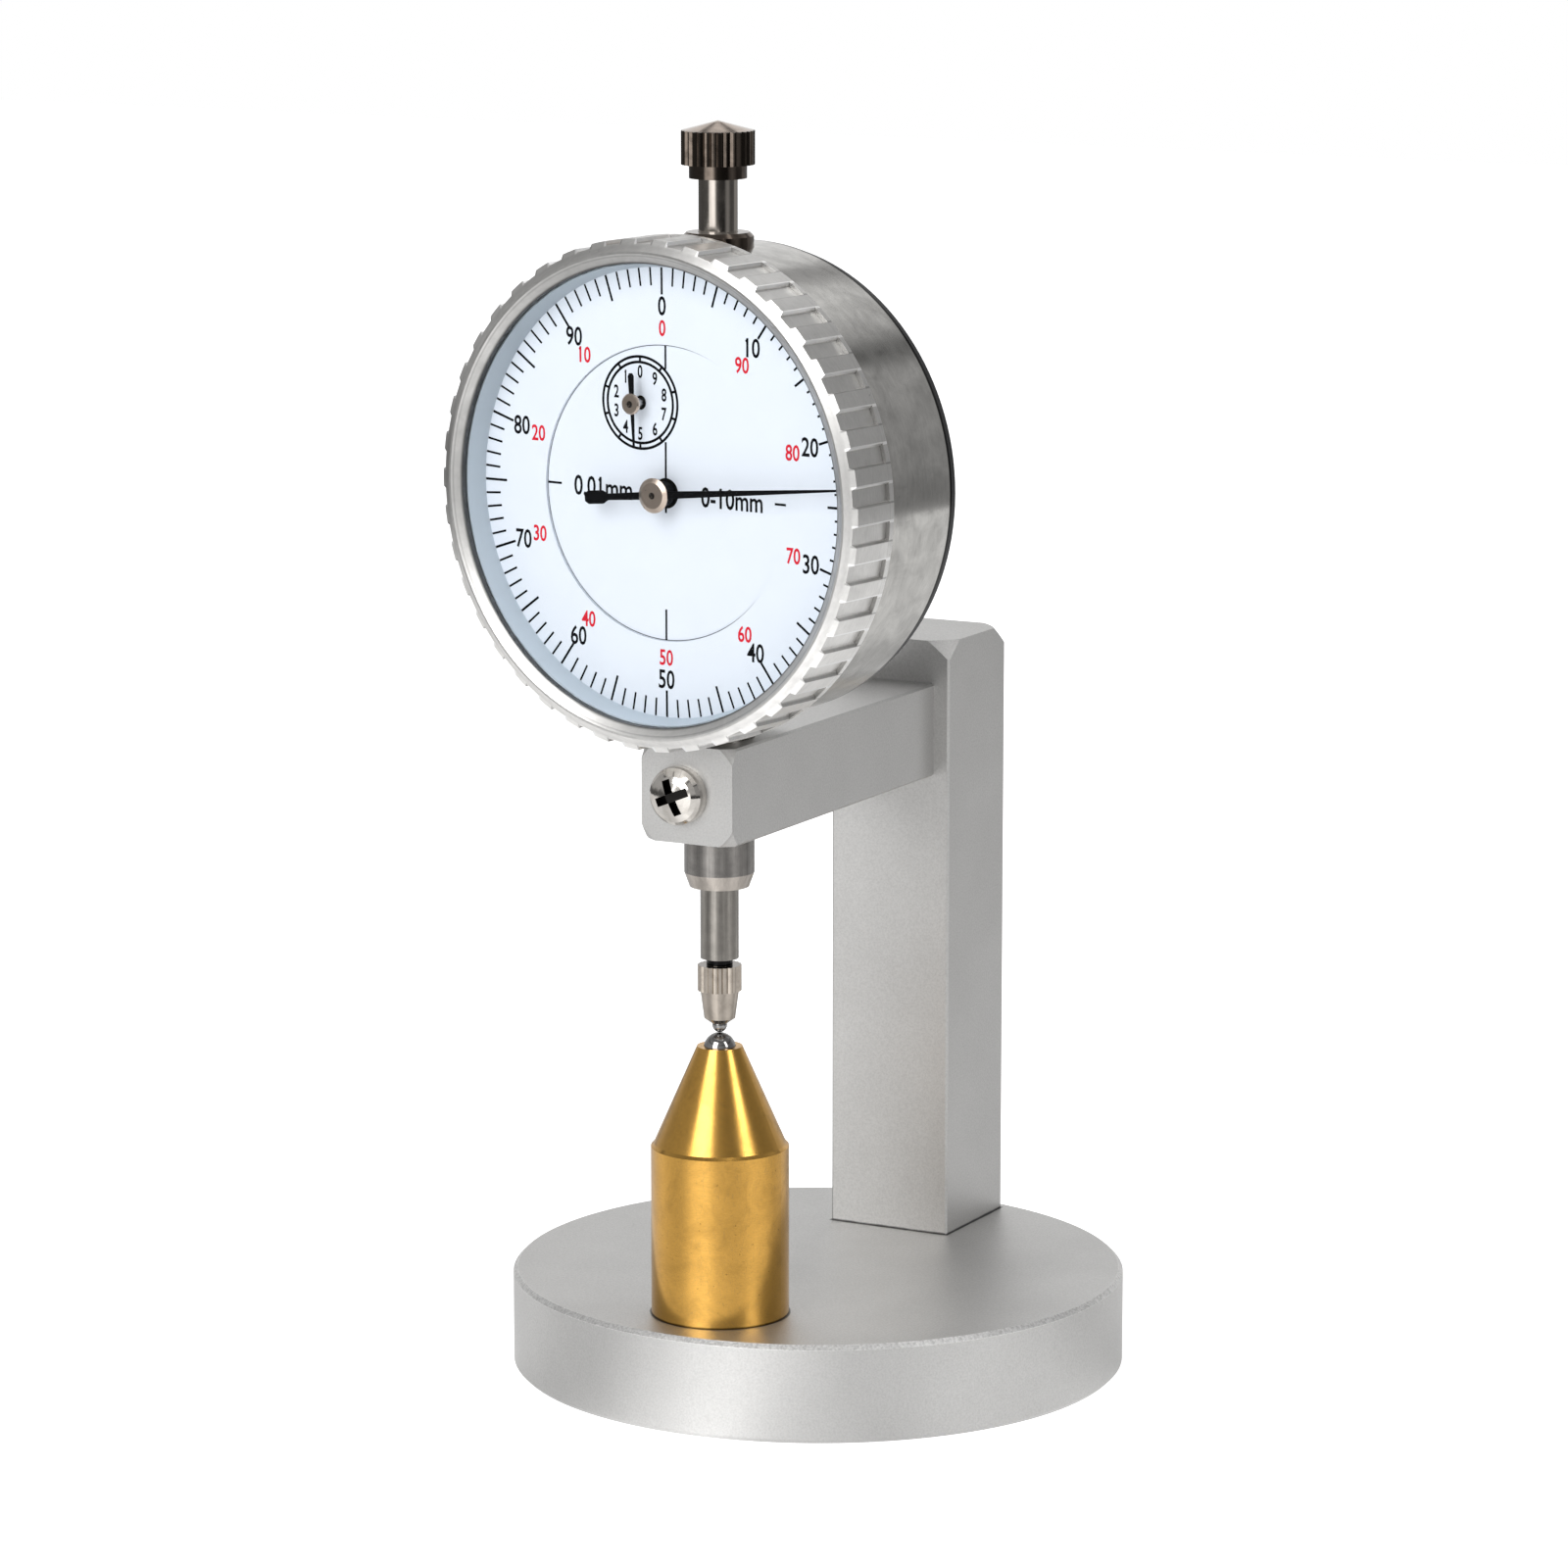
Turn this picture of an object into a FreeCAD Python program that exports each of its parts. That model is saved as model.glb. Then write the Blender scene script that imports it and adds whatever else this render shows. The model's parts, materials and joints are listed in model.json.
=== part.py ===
import FreeCAD, Part
import math
import os
from types import SimpleNamespace

import Sketcher

# Lens thickness gauge: a dial indicator held over a ball-tipped anvil by a stand.
# Frame: origin at the centre of the base's underside, +Z up, the arm reaches towards -Y
# and the dial faces -Y. Lengths are in millimetres and angles in degrees.

SIZES = {
    # Clearances shared by the pieces that fit together
    "running_gap": 0.05,
    "seat_gap": 0.02,
    "touch_gap": 0.03,
    "overcut": 1.0,
    "screw_tip_room": 1.0,
    # Base disc
    "base_radius": 36.0,
    "base_height": 11.5,
    "base_edge": 0.5,
    # Square post
    "post_width": 15.6,
    "post_depth": 15.1,
    "post_back_margin": 2.6,
    "post_rise": 5.1,
    "bar_edge": 0.25,
    "post_crown_radius": 9.0,
    "post_crown_drop": 2.3,
    # Square arm
    "arm_width": 11.6,
    "arm_height": 11.1,
    "arm_below_bezel": 0.25,
    "arm_overhang": 7.6,
    "arm_nose_radius": 6.9,
    "arm_nose_depth": 1.3,
    # Place of the indicator
    "anvil_margin": 11.8,
    "gauge_turn": -7.5,
    "dial_height": 107.3,
    # Anvil
    "anvil_radius": 7.9,
    "anvil_edge": 0.35,
    "anvil_cone_share": 0.361,
    "anvil_thread_share": 0.29,
    "anvil_tip_radius": 2.6,
    "anvil_ball_radius": 1.86,
    "anvil_ball_sink": 0.33,
    # Socket-head screws under the base and behind the post
    "large_screw_radius": 3.0,
    "large_head_radius": 5.0,
    "large_head_height": 6.0,
    "large_screw_reach": 12.0,
    "small_screw_radius": 2.5,
    "small_head_radius": 4.25,
    "small_head_height": 5.0,
    "small_screw_reach": 9.0,
    "socket_share": 0.55,
    "socket_depth_share": 0.5,
    "head_sink": 0.5,
    "bore_play": 0.3,
    # Clamp screw in the arm's nose
    "clamp_radius": 2.0,
    "clamp_head_radius": 3.35,
    "clamp_rim": 0.9,
    "clamp_dome": 2.4,
    "clamp_offset": 0.8,
    "cross_width": 1.0,
    "cross_reach": 2.1,
    "cross_depth": 1.5,
    "cross_turn": 22.0,
    # Stem and upper collar
    "stem_radius": 4.0,
    "stem_below_arm": 6.1,
    "stem_taper": 1.65,
    "stem_end_radius": 3.4,
    "stem_inside": 1.0,
    "collar_radius": 4.0,
    "collar_rise": 1.45,
    "collar_edge": 0.45,
    # Case
    "case_radius": 26.75,
    "case_wall": 2.75,
    "case_back": 7.0,
    "flange_width": 3.0,
    "flange_thick": 1.8,
    "neck_step": 0.7,
    "neck_front": 9.6,
    "plate_seat": 0.55,
    # Back cover and its screws
    "cover_inset": 0.35,
    "cover_thick": 1.6,
    "cover_edge": 0.4,
    "cover_spigot": 0.8,
    "cover_screw_inset": 1.9,
    "cover_screws": 4,
    "cover_screw_radius": 0.8,
    "cover_head_radius": 1.3,
    "cover_head_height": 0.8,
    "cover_slot": 0.35,
    # Retaining ring between neck and bezel
    "ring_inset": 1.6,
    "ring_width": 0.5,
    "ring_bite": 0.45,
    "ring_stand": 0.3,
    # Bezel
    "bezel_lap": 3.1,
    "bezel_wall": 1.9,
    "bezel_tooth_height": 0.5,
    "bezel_ridge_rise": 0.72,
    "bezel_ridge_inset": 0.98,
    "bezel_ridge_half": 0.12,
    "bezel_cone_depth": 0.77,
    "bezel_rear_edge": 0.25,
    "bezel_shoulder_width": 0.8,
    "bezel_shoulder_thick": 0.3,
    "bezel_teeth": 42,
    "groove_width": 2.05,
    "groove_flare": 0.13,
    "bezel_plain_band": 1.0,
    # Crystal, dial ring and the white wall between them
    "crystal_inset": 0.3,
    "crystal_thick": 0.8,
    "wall_thick": 0.67,
    "wall_edge": 0.17,
    "dial_room": 2.65,
    "ring_thick": 0.25,
    "scale_band": 9.23,
    # Centre dial
    "disc_lap": 1.08,
    "disc_gap": 0.05,
    "disc_thick": 0.22,
    # Movement plates and pillars
    "plate_thick": 1.1,
    "rear_plate_gap": 0.66,
    "rear_plate_thick": 1.0,
    "rear_plate_inset": 1.2,
    "pillar_radius": 1.5,
    "pillar_spigot": 0.8,
    "pillar_inset": 3.0,
    "pillars": 4,
    "pillar_bearing": 45.0,
    # Gear train
    "rack_pitch": 0.625,
    "rack_gaps": 24,
    "rack_depth": 0.42,
    "rack_mouth": 0.44,
    "rack_floor": 0.16,
    "rack_pinion_teeth": 16,
    "wheel_teeth": 100,
    "leaf_teeth": 10,
    "train_share": 0.4354,
    "rack_inset": 0.283,
    "tooth_root_share": 1.105,
    "tooth_pitch_share": 0.632,
    "tooth_tip_share": 0.29,
    "rack_tooth_root_half": 0.2,
    "rack_tooth_pitch_half": 0.125,
    "rack_tooth_tip_half": 0.07,
    "wheel_room": 2.5,
    "wheel_thick": 0.7,
    "wheel_bore": 1.5,
    "collet_width": 0.5,
    "collet_thick": 0.6,
    "tooth_bottom_share": 1.2,
    "tooth_sink": 0.1,
    "leaf_room": 2.0,
    "leaf_length": 1.8,
    "arbor_radius": 0.5,
    "pivot_radius": 0.35,
    "arbor_play": 0.04,
    "rack_pinion_half": 1.1,
    "cock_gap": 0.96,
    "cock_thick": 1.0,
    "cock_reach": 6.0,
    "cock_width": 3.0,
    # Hands and hubs, as distances in front of the spindle axis
    "main_hub_gap": 0.3,
    "main_hub_thick": 0.35,
    "main_hub_radius": 1.95,
    "main_hub_edge": 0.25,
    "hub_mark_radius": 0.3,
    "hub_mark_depth": 0.2,
    "hand_thick": 0.15,
    "hand_boss_radius": 1.4,
    "hand_boss_length": 1.9,
    "main_hand_tip_gap": 0.75,
    "main_hand_tail": 9.6,
    "main_hand_half": 0.45,
    "main_hand_tip_half": 0.12,
    "spade_half": 0.75,
    "spade_start": 6.4,
    "spade_slope": 0.7,
    "spade_heel": 0.5,
    "spade_heel_half": 0.4,
    "hand_waist_half": 0.36,
    "main_hand_turn": -84.2,
    "counter_hub_gap": 0.95,
    "counter_hub_thick": 0.4,
    "counter_hub_radius": 1.17,
    "counter_hand_reach": 4.7,
    "counter_hand_tail": 3.4,
    "counter_hand_half": 0.25,
    "counter_tail_half": 0.37,
    "counter_heel": 0.35,
    "counter_heel_half": 0.18,
    "counter_tip_half": 0.1,
    "counter_boss_radius": 1.0,
    "counter_hub_edge": 0.15,
    "counter_hand_turn": -177.2,
    # Spindle, contact point and lift knob
    "spindle_radius": 2.19,
    "spindle_below_stem": 8.34,
    "knob_stop_gap": 0.73,
    "spindle_spigot": 1.4,
    "spigot_length": 3.4,
    "contact_ball_radius": 0.85,
    "contact_length": 8.7,
    "contact_nose": 1.1,
    "contact_nose_radius": 0.95,
    "contact_chamfer": 0.6,
    "contact_waist_radius": 1.78,
    "contact_cone_top": 2.2,
    "contact_collar_radius": 2.5,
    "contact_collar_height": 3.0,
    "contact_neck": 0.8,
    "contact_neck_radius": 1.5,
    "contact_stud_radius": 1.2,
    "contact_stud_length": 3.5,
    "contact_flutes": 24,
    "contact_flute_depth": 0.18,
    "knob_radius": 4.12,
    "knob_height": 3.75,
    "knob_crown": 1.1,
    "knob_flange_radius": 3.24,
    "knob_flange_height": 1.5,
    "knob_flutes": 32,
    "knob_flute_depth": 0.22,
    "flute_share": 0.83,
    # Guide pin, its rail and the travel
    "pin_radius": 0.75,
    "pin_below_dial": 9.0,
    "pin_reach": 8.3,
    "pin_seat": 1.2,
    "travel_up": 4.77,
    "travel_down": 5.23,
    "rail_near": 6.2,
    "rail_far": 9.6,
    "rail_end_wall": 1.6,
    "rail_rear": 1.8,
}


class Size:
    """A number together with the sheet formula that gives it."""

    def __init__(self, amount, formula):
        self.amount = float(amount)
        self.formula = formula

    def __add__(self, other):
        other = as_size(other)
        return Size(self.amount + other.amount, f"({self.formula} + {other.formula})")

    def __radd__(self, other):
        return as_size(other) + self

    def __sub__(self, other):
        other = as_size(other)
        return Size(self.amount - other.amount, f"({self.formula} - {other.formula})")

    def __rsub__(self, other):
        return as_size(other) - self

    def __mul__(self, other):
        other = as_size(other)
        return Size(self.amount * other.amount, f"({self.formula} * {other.formula})")

    def __rmul__(self, other):
        return as_size(other) * self

    def __truediv__(self, other):
        other = as_size(other)
        return Size(self.amount / other.amount, f"({self.formula} / {other.formula})")

    def __rtruediv__(self, other):
        return as_size(other) / self

    def __neg__(self):
        return Size(-self.amount, f"(0 - {self.formula})")


def as_size(given):
    """Take a size as it is and turn a plain number into one."""
    return given if isinstance(given, Size) else Size(given, repr(float(given)))


def sine(angle):
    angle = as_size(angle)
    return Size(math.sin(math.radians(angle.amount)), f"sin({angle.formula})")


def cosine(angle):
    angle = as_size(angle)
    return Size(math.cos(math.radians(angle.amount)), f"cos({angle.formula})")


def arcsine(given):
    """The angle in degrees, as a plain number."""
    return Size(math.degrees(math.asin(given.amount)), f"(asin({given.formula}) / 1 deg)")


def square_root(given):
    return Size(math.sqrt(given.amount), f"sqrt({given.formula})")


doc = FreeCAD.newDocument("LensThicknessGauge")
sheet = doc.addObject("Spreadsheet::Sheet", "Sizes")
for row, (name, amount) in enumerate(SIZES.items(), start=1):
    sheet.set(f"A{row}", name)
    sheet.set(f"B{row}", str(amount))
    sheet.setAlias(f"B{row}", name)
doc.recompute()
size = SimpleNamespace(**{name: Size(amount, f"Sizes.{name}") for name, amount in SIZES.items()})

parts = []


def bind(item, path, given):
    """Tie one property of an object to the sheet."""
    given = as_size(given)
    item.setExpression(path, given.formula)


def new_body(label, x=0.0, y=0.0, z=0.0):
    """Start a piece of the stand, placed in the object's own frame."""
    body = doc.addObject("PartDesign::Body", label)
    body.Label = label
    for path, given in (("x", x), ("y", y), ("z", z)):
        bind(body, f".Placement.Base.{path}", given)
    parts.append(body)
    return body


def gauge_body(label, x=0.0, z=0.0):
    """Start a piece of the indicator, placed from the spindle axis and turned with the gauge."""
    body = doc.addObject("PartDesign::Body", label)
    body.Label = label
    body.Placement = FreeCAD.Placement(
        FreeCAD.Vector(0, -gauge_forward.amount, 0),
        FreeCAD.Rotation(FreeCAD.Vector(0, 0, 1), size.gauge_turn.amount),
    )
    bind(body, ".Placement.Base.x", as_size(x) * cosine(size.gauge_turn))
    bind(body, ".Placement.Base.y", as_size(x) * sine(size.gauge_turn) - gauge_forward)
    bind(body, ".Placement.Base.z", z)
    bind(body, ".Placement.Rotation.Angle", size.gauge_turn)
    parts.append(body)
    return body


def origin_item(body, role):
    return next(item for item in body.Origin.OriginFeatures if item.Role == role)


def new_sketch(body, plane, offset=0.0, turn=0.0):
    """Add a sketch on one of the body's own planes, moved along its normal and turned in it."""
    sketch = body.newObject("Sketcher::SketchObject", f"{body.Label}_outline")
    sketch.AttachmentSupport = [(origin_item(body, plane), "")]
    sketch.MapMode = "FlatFace"
    bind(sketch, ".AttachmentOffset.Base.z", offset)
    if as_size(turn).amount:
        sketch.AttachmentOffset = FreeCAD.Placement(
            FreeCAD.Vector(0, 0, as_size(offset).amount),
            FreeCAD.Rotation(FreeCAD.Vector(0, 0, 1), as_size(turn).amount),
        )
        bind(sketch, ".AttachmentOffset.Rotation.Angle", turn)
    return sketch


def pin_point(sketch, edge, point, x, y):
    """Fix one sketch point by its two distances from the origin."""
    for kind, given, axis in (("DistanceX", as_size(x), -2), ("DistanceY", as_size(y), -1)):
        if abs(given.amount) < 1e-9:
            sketch.addConstraint(Sketcher.Constraint("PointOnObject", edge, point, axis))
        else:
            place = sketch.addConstraint(Sketcher.Constraint(kind, -1, 1, edge, point, given.amount))
            bind(sketch, f"Constraints[{place}]", given)


def polygon(sketch, corners):
    """Draw a closed outline of straight lines through bound corners."""
    first = sketch.GeometryCount
    spots = [FreeCAD.Vector(as_size(x).amount, as_size(y).amount, 0) for x, y in corners]
    for start, end in zip(spots, spots[1:] + spots[:1]):
        sketch.addGeometry(Part.LineSegment(start, end), False)
    for index, (x, y) in enumerate(corners):
        edge = first + index
        following = first + (index + 1) % len(corners)
        sketch.addConstraint(Sketcher.Constraint("Coincident", edge, 2, following, 1))
        pin_point(sketch, edge, 1, x, y)


def rectangle(sketch, left, bottom, right, top):
    polygon(sketch, [(left, bottom), (right, bottom), (right, top), (left, top)])


def square_bar(sketch, half_wide, half_high):
    """Draw the section of a square bar with its long edges broken."""
    edge = size.bar_edge
    polygon(sketch, [
        (-half_wide + edge, -half_high),
        (half_wide - edge, -half_high),
        (half_wide, -half_high + edge),
        (half_wide, half_high - edge),
        (half_wide - edge, half_high),
        (-half_wide + edge, half_high),
        (-half_wide, half_high - edge),
        (-half_wide, -half_high + edge),
    ])


def circle(sketch, radius, x=0.0, y=0.0):
    """Draw a circle with a bound centre and radius."""
    centre = FreeCAD.Vector(as_size(x).amount, as_size(y).amount, 0)
    edge = sketch.addGeometry(Part.Circle(centre, FreeCAD.Vector(0, 0, 1), radius.amount), False)
    place = sketch.addConstraint(Sketcher.Constraint("Radius", edge, radius.amount))
    bind(sketch, f"Constraints[{place}]", radius)
    pin_point(sketch, edge, 3, x, y)


def turn_profile(body, plane, axis, corners, kind="Revolution"):
    """Revolve a profile about a sketch axis, adding it or cutting it away."""
    sketch = new_sketch(body, plane)
    polygon(sketch, corners)
    feature = body.newObject(f"PartDesign::{kind}", f"{body.Label}_{kind.lower()}")
    feature.Profile = sketch
    feature.ReferenceAxis = (sketch, [axis])
    feature.Angle = 360
    return feature


def upright(body, corners, kind="Revolution"):
    """Turn (radius, height) corners about the body's Z axis."""
    return turn_profile(body, "XZ_Plane", "V_Axis", corners, kind)


def level(body, corners, kind="Revolution"):
    """Turn (depth, radius) corners about the body's Y axis, depth growing to the back."""
    return turn_profile(body, "YZ_Plane", "H_Axis", corners, kind)


def pad(body, sketch, length, reverse=False):
    feature = body.newObject("PartDesign::Pad", f"{body.Label}_pad")
    feature.Profile = sketch
    feature.Reversed = reverse
    bind(feature, "Length", length)
    return feature


def pocket(body, sketch, length=None, reverse=False):
    """Cut a sketch away to a length, or right through both ways where none is given."""
    feature = body.newObject("PartDesign::Pocket", f"{body.Label}_pocket")
    feature.Profile = sketch
    feature.Reversed = reverse
    if length is None:
        feature.Type = "ThroughAll"
        feature.Midplane = True
    else:
        bind(feature, "Length", length)
    return feature


def around(body, feature, role, count):
    """Repeat a feature evenly round one of the body's axes."""
    pattern = body.newObject("PartDesign::PolarPattern", f"{body.Label}_pattern")
    pattern.Originals = [feature]
    pattern.Axis = (origin_item(body, role), [""])
    pattern.Angle = 360
    bind(pattern, "Occurrences", count)
    body.Tip = pattern
    return pattern


# Places that several pieces share. The indicator's radii follow its case:
case_inner = size.case_radius - size.case_wall
flange_inner = case_inner - size.flange_width
cover_radius = size.case_radius - size.cover_inset
cover_screw_circle = flange_inner + size.cover_screw_inset
rear_plate_radius = case_inner - size.rear_plate_inset
pillar_circle = case_inner - size.pillar_inset
neck_radius = size.case_radius - size.neck_step
bezel_root_radius = neck_radius + size.bezel_wall
bezel_tip_radius = bezel_root_radius + size.bezel_tooth_height
bezel_ridge_radius = bezel_root_radius - size.bezel_ridge_inset
crystal_radius = neck_radius - size.crystal_inset
bezel_shoulder_radius = crystal_radius - size.bezel_shoulder_width
ring_hole = crystal_radius - size.scale_band
disc_radius = ring_hole + size.disc_lap
main_hand_reach = crystal_radius - size.main_hand_tip_gap

# Depths in front of the spindle axis, from the neck of the case to the bezel's ridge:
ring_place = size.neck_front - size.ring_inset
bezel_rear = size.neck_front - size.bezel_lap
groove_end = bezel_rear + size.bezel_plain_band
shoulder_rear = size.neck_front + size.running_gap
ring_rear = shoulder_rear + size.bezel_shoulder_thick
ring_face = ring_rear + size.ring_thick
disc_front = ring_rear - size.disc_gap
disc_rear = disc_front - size.disc_thick
crystal_rear = ring_face + size.dial_room
crystal_front = crystal_rear + size.crystal_thick
bezel_ridge = crystal_front + size.bezel_ridge_rise
tooth_front = bezel_ridge - size.bezel_cone_depth
main_hub_front = crystal_rear - size.main_hub_gap
counter_hub_front = crystal_rear - size.counter_hub_gap

# The movement's depths:
spindle_bore = size.spindle_radius + size.running_gap
plate_front = size.neck_front
plate_rear = plate_front - size.plate_thick
rear_plate_rear = spindle_bore + size.rear_plate_gap
rear_plate_front = rear_plate_rear + size.rear_plate_thick
wheel_front = plate_rear - size.wheel_room
leaf_front = plate_rear - size.leaf_room
cock_front = spindle_bore + size.cock_gap
cover_rear = size.case_back + size.cover_thick

# Heights, from the dial down to the anvil and up to the lift knob:
arm_top = size.dial_height - bezel_tip_radius - size.arm_below_bezel
arm_underside = arm_top - size.arm_height
arm_middle = arm_underside + size.arm_height / 2
post_top = arm_top + size.post_rise
stem_end = arm_underside - size.stem_below_arm
spindle_bottom = stem_end - size.spindle_below_stem
contact_tip = spindle_bottom - size.contact_length
ball_top = contact_tip - size.touch_gap
ball_middle = ball_top - size.anvil_ball_radius
anvil_top = ball_middle + size.anvil_ball_sink
anvil_height = anvil_top - size.base_height
anvil_shoulder = anvil_top - anvil_height * size.anvil_cone_share
anvil_screw_reach = anvil_height * size.anvil_thread_share
collar_top = size.dial_height + size.case_radius + size.collar_rise
spindle_top = collar_top + size.travel_down + size.knob_stop_gap
pin_height = size.dial_height - size.pin_below_dial

# Places on the base, from its rim:
gauge_forward = size.base_radius - size.anvil_margin
post_front = size.base_radius - size.post_back_margin - size.post_depth
post_centre = post_front + size.post_depth / 2
arm_nose = gauge_forward + size.arm_overhang

# The gear train: the rack's pinion meets the spindle's side and its wheel meets the centre pinion.
gear_centres = case_inner * size.train_share
gear_module = 2 * gear_centres / (size.wheel_teeth + size.leaf_teeth)
rack_pinion_radius = size.rack_pitch * size.rack_pinion_teeth / (2 * math.pi)
rack_line = -(size.spindle_radius - size.rack_inset)
counter_x = rack_line - rack_pinion_radius
counter_lean = arcsine(-counter_x / gear_centres)
counter_drop = gear_centres * cosine(counter_lean)
counter_z = size.dial_height + counter_drop
takeup_x = -counter_x
takeup_z = size.dial_height - counter_drop


def socket_screw(body, role, radius, reach, head_radius, head_height, grip):
    """A cylinder-head screw whose head starts at the body's origin and points along an axis."""
    profile = [
        (0, 0),
        (head_radius, 0),
        (head_radius, head_height),
        (radius, head_height),
        (radius, grip + reach),
        (0, grip + reach),
    ]
    if role == "Z_Axis":
        upright(body, profile)
        sketch = new_sketch(body, "XY_Plane")
    else:
        level(body, [(-along, across) for across, along in profile])
        sketch = new_sketch(body, "XZ_Plane")
    key = head_radius * size.socket_share
    corners = [(key * cosine(60 * step), key * sine(60 * step)) for step in range(6)]
    polygon(sketch, corners)
    return pocket(body, sketch, head_height * size.socket_depth_share, reverse=True)


def base_disc():
    body = new_body("base_disc")
    upright(body, [
        (0, 0),
        (size.base_radius - size.base_edge, 0),
        (size.base_radius, size.base_edge),
        (size.base_radius, size.base_height - size.base_edge),
        (size.base_radius - size.base_edge, size.base_height),
        (0, size.base_height),
    ])
    holes = (
        (post_centre, size.large_screw_radius, size.large_head_radius, size.large_head_height),
        (-gauge_forward, size.small_screw_radius, size.small_head_radius, size.small_head_height),
    )
    for y, radius, head_radius, head_height in holes:
        bore = new_sketch(body, "XY_Plane")
        circle(bore, radius + size.bore_play, 0, y)
        pocket(body, bore)
        mouth = new_sketch(body, "XY_Plane")
        circle(mouth, head_radius + size.bore_play, 0, y)
        pocket(body, mouth, head_height + size.head_sink, reverse=True)


def post():
    body = new_body("post", y=post_centre)
    half_wide = size.post_width / 2
    half_deep = size.post_depth / 2
    outline = new_sketch(body, "XY_Plane", size.base_height)
    square_bar(outline, half_wide, half_deep)
    pad(body, outline, post_top - size.base_height)
    corner = square_root(half_wide * half_wide + half_deep * half_deep)
    slope = (corner - size.post_crown_radius) / size.post_crown_drop
    upright(body, [
        (size.post_crown_radius, post_top),
        (corner + slope * size.overcut, post_top),
        (corner + slope * size.overcut, post_top - size.post_crown_drop - size.overcut),
    ], "Groove")
    thread = new_sketch(body, "XY_Plane", size.base_height)
    circle(thread, size.large_screw_radius + size.seat_gap)
    pocket(body, thread, size.large_screw_reach + size.screw_tip_room, reverse=True)
    bore = new_sketch(body, "XZ_Plane")
    circle(bore, size.small_screw_radius + size.bore_play, 0, arm_middle)
    pocket(body, bore)
    mouth = new_sketch(body, "XZ_Plane", -half_deep)
    circle(mouth, size.small_head_radius + size.bore_play, 0, arm_middle)
    pocket(body, mouth, size.small_head_height + size.head_sink, reverse=True)


def arm():
    body = new_body("arm", z=arm_middle)
    half_wide = size.arm_width / 2
    half_high = size.arm_height / 2
    outline = new_sketch(body, "XZ_Plane", -post_front)
    square_bar(outline, half_wide, half_high)
    pad(body, outline, post_front + arm_nose)
    corner = square_root(half_wide * half_wide + half_high * half_high)
    slope = (corner - size.arm_nose_radius) / size.arm_nose_depth
    level(body, [
        (-arm_nose, size.arm_nose_radius),
        (-arm_nose, corner + slope * size.overcut),
        (-arm_nose + size.arm_nose_depth + size.overcut, corner + slope * size.overcut),
    ], "Groove")
    bore = new_sketch(body, "XY_Plane")
    circle(bore, size.stem_radius + size.running_gap, 0, -gauge_forward)
    pocket(body, bore)
    front_thread = new_sketch(body, "XZ_Plane", arm_nose)
    circle(front_thread, size.clamp_radius + size.running_gap, -size.clamp_offset, 0)
    pocket(body, front_thread, size.arm_overhang)
    rear_thread = new_sketch(body, "XZ_Plane", -post_front)
    circle(rear_thread, size.small_screw_radius + size.seat_gap)
    pocket(body, rear_thread, size.small_screw_reach + size.screw_tip_room, reverse=True)


def anvil():
    body = new_body("anvil_post", y=-gauge_forward)
    upright(body, [
        (0, size.base_height),
        (size.anvil_radius, size.base_height),
        (size.anvil_radius, anvil_shoulder - size.anvil_edge),
        (size.anvil_radius - size.anvil_edge, anvil_shoulder),
        (size.anvil_tip_radius, anvil_top),
        (0, anvil_top),
    ])
    seat = size.anvil_ball_radius + size.seat_gap
    sketch = new_sketch(body, "XZ_Plane")
    half_disc(sketch, seat, ball_middle)
    cut = body.newObject("PartDesign::Groove", "anvil_seat")
    cut.Profile = sketch
    cut.ReferenceAxis = (sketch, ["V_Axis"])
    cut.Angle = 360
    thread = new_sketch(body, "XY_Plane", size.base_height)
    circle(thread, size.small_screw_radius + size.seat_gap)
    pocket(body, thread, anvil_screw_reach + size.screw_tip_room, reverse=True)
    ball("anvil_ball", new_body("anvil_ball", y=-gauge_forward), size.anvil_ball_radius, ball_middle)


def half_disc(sketch, radius, middle):
    """Half a disc beside the sketch's vertical axis, which turns into a ball."""
    middle = as_size(middle)
    centre = FreeCAD.Vector(0, middle.amount, 0)
    full = Part.Circle(centre, FreeCAD.Vector(0, 0, 1), radius.amount)
    arc = sketch.addGeometry(Part.ArcOfCircle(full, -math.pi / 2, math.pi / 2), False)
    low = FreeCAD.Vector(0, middle.amount - radius.amount, 0)
    high = FreeCAD.Vector(0, middle.amount + radius.amount, 0)
    chord = sketch.addGeometry(Part.LineSegment(high, low), False)
    sketch.addConstraint(Sketcher.Constraint("Coincident", arc, 2, chord, 1))
    sketch.addConstraint(Sketcher.Constraint("Coincident", arc, 1, chord, 2))
    sketch.addConstraint(Sketcher.Constraint("PointOnObject", chord, 1, -2))
    sketch.addConstraint(Sketcher.Constraint("PointOnObject", chord, 2, -2))
    sketch.addConstraint(Sketcher.Constraint("PointOnObject", arc, 3, -2))
    place = sketch.addConstraint(Sketcher.Constraint("DistanceY", -1, 1, arc, 3, middle.amount))
    bind(sketch, f"Constraints[{place}]", middle)
    place = sketch.addConstraint(Sketcher.Constraint("Radius", arc, radius.amount))
    bind(sketch, f"Constraints[{place}]", radius)


def ball(label, body, radius, middle):
    sketch = new_sketch(body, "XZ_Plane")
    half_disc(sketch, radius, middle)
    feature = body.newObject("PartDesign::Revolution", f"{label}_ball")
    feature.Profile = sketch
    feature.ReferenceAxis = (sketch, ["V_Axis"])
    feature.Angle = 360


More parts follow.
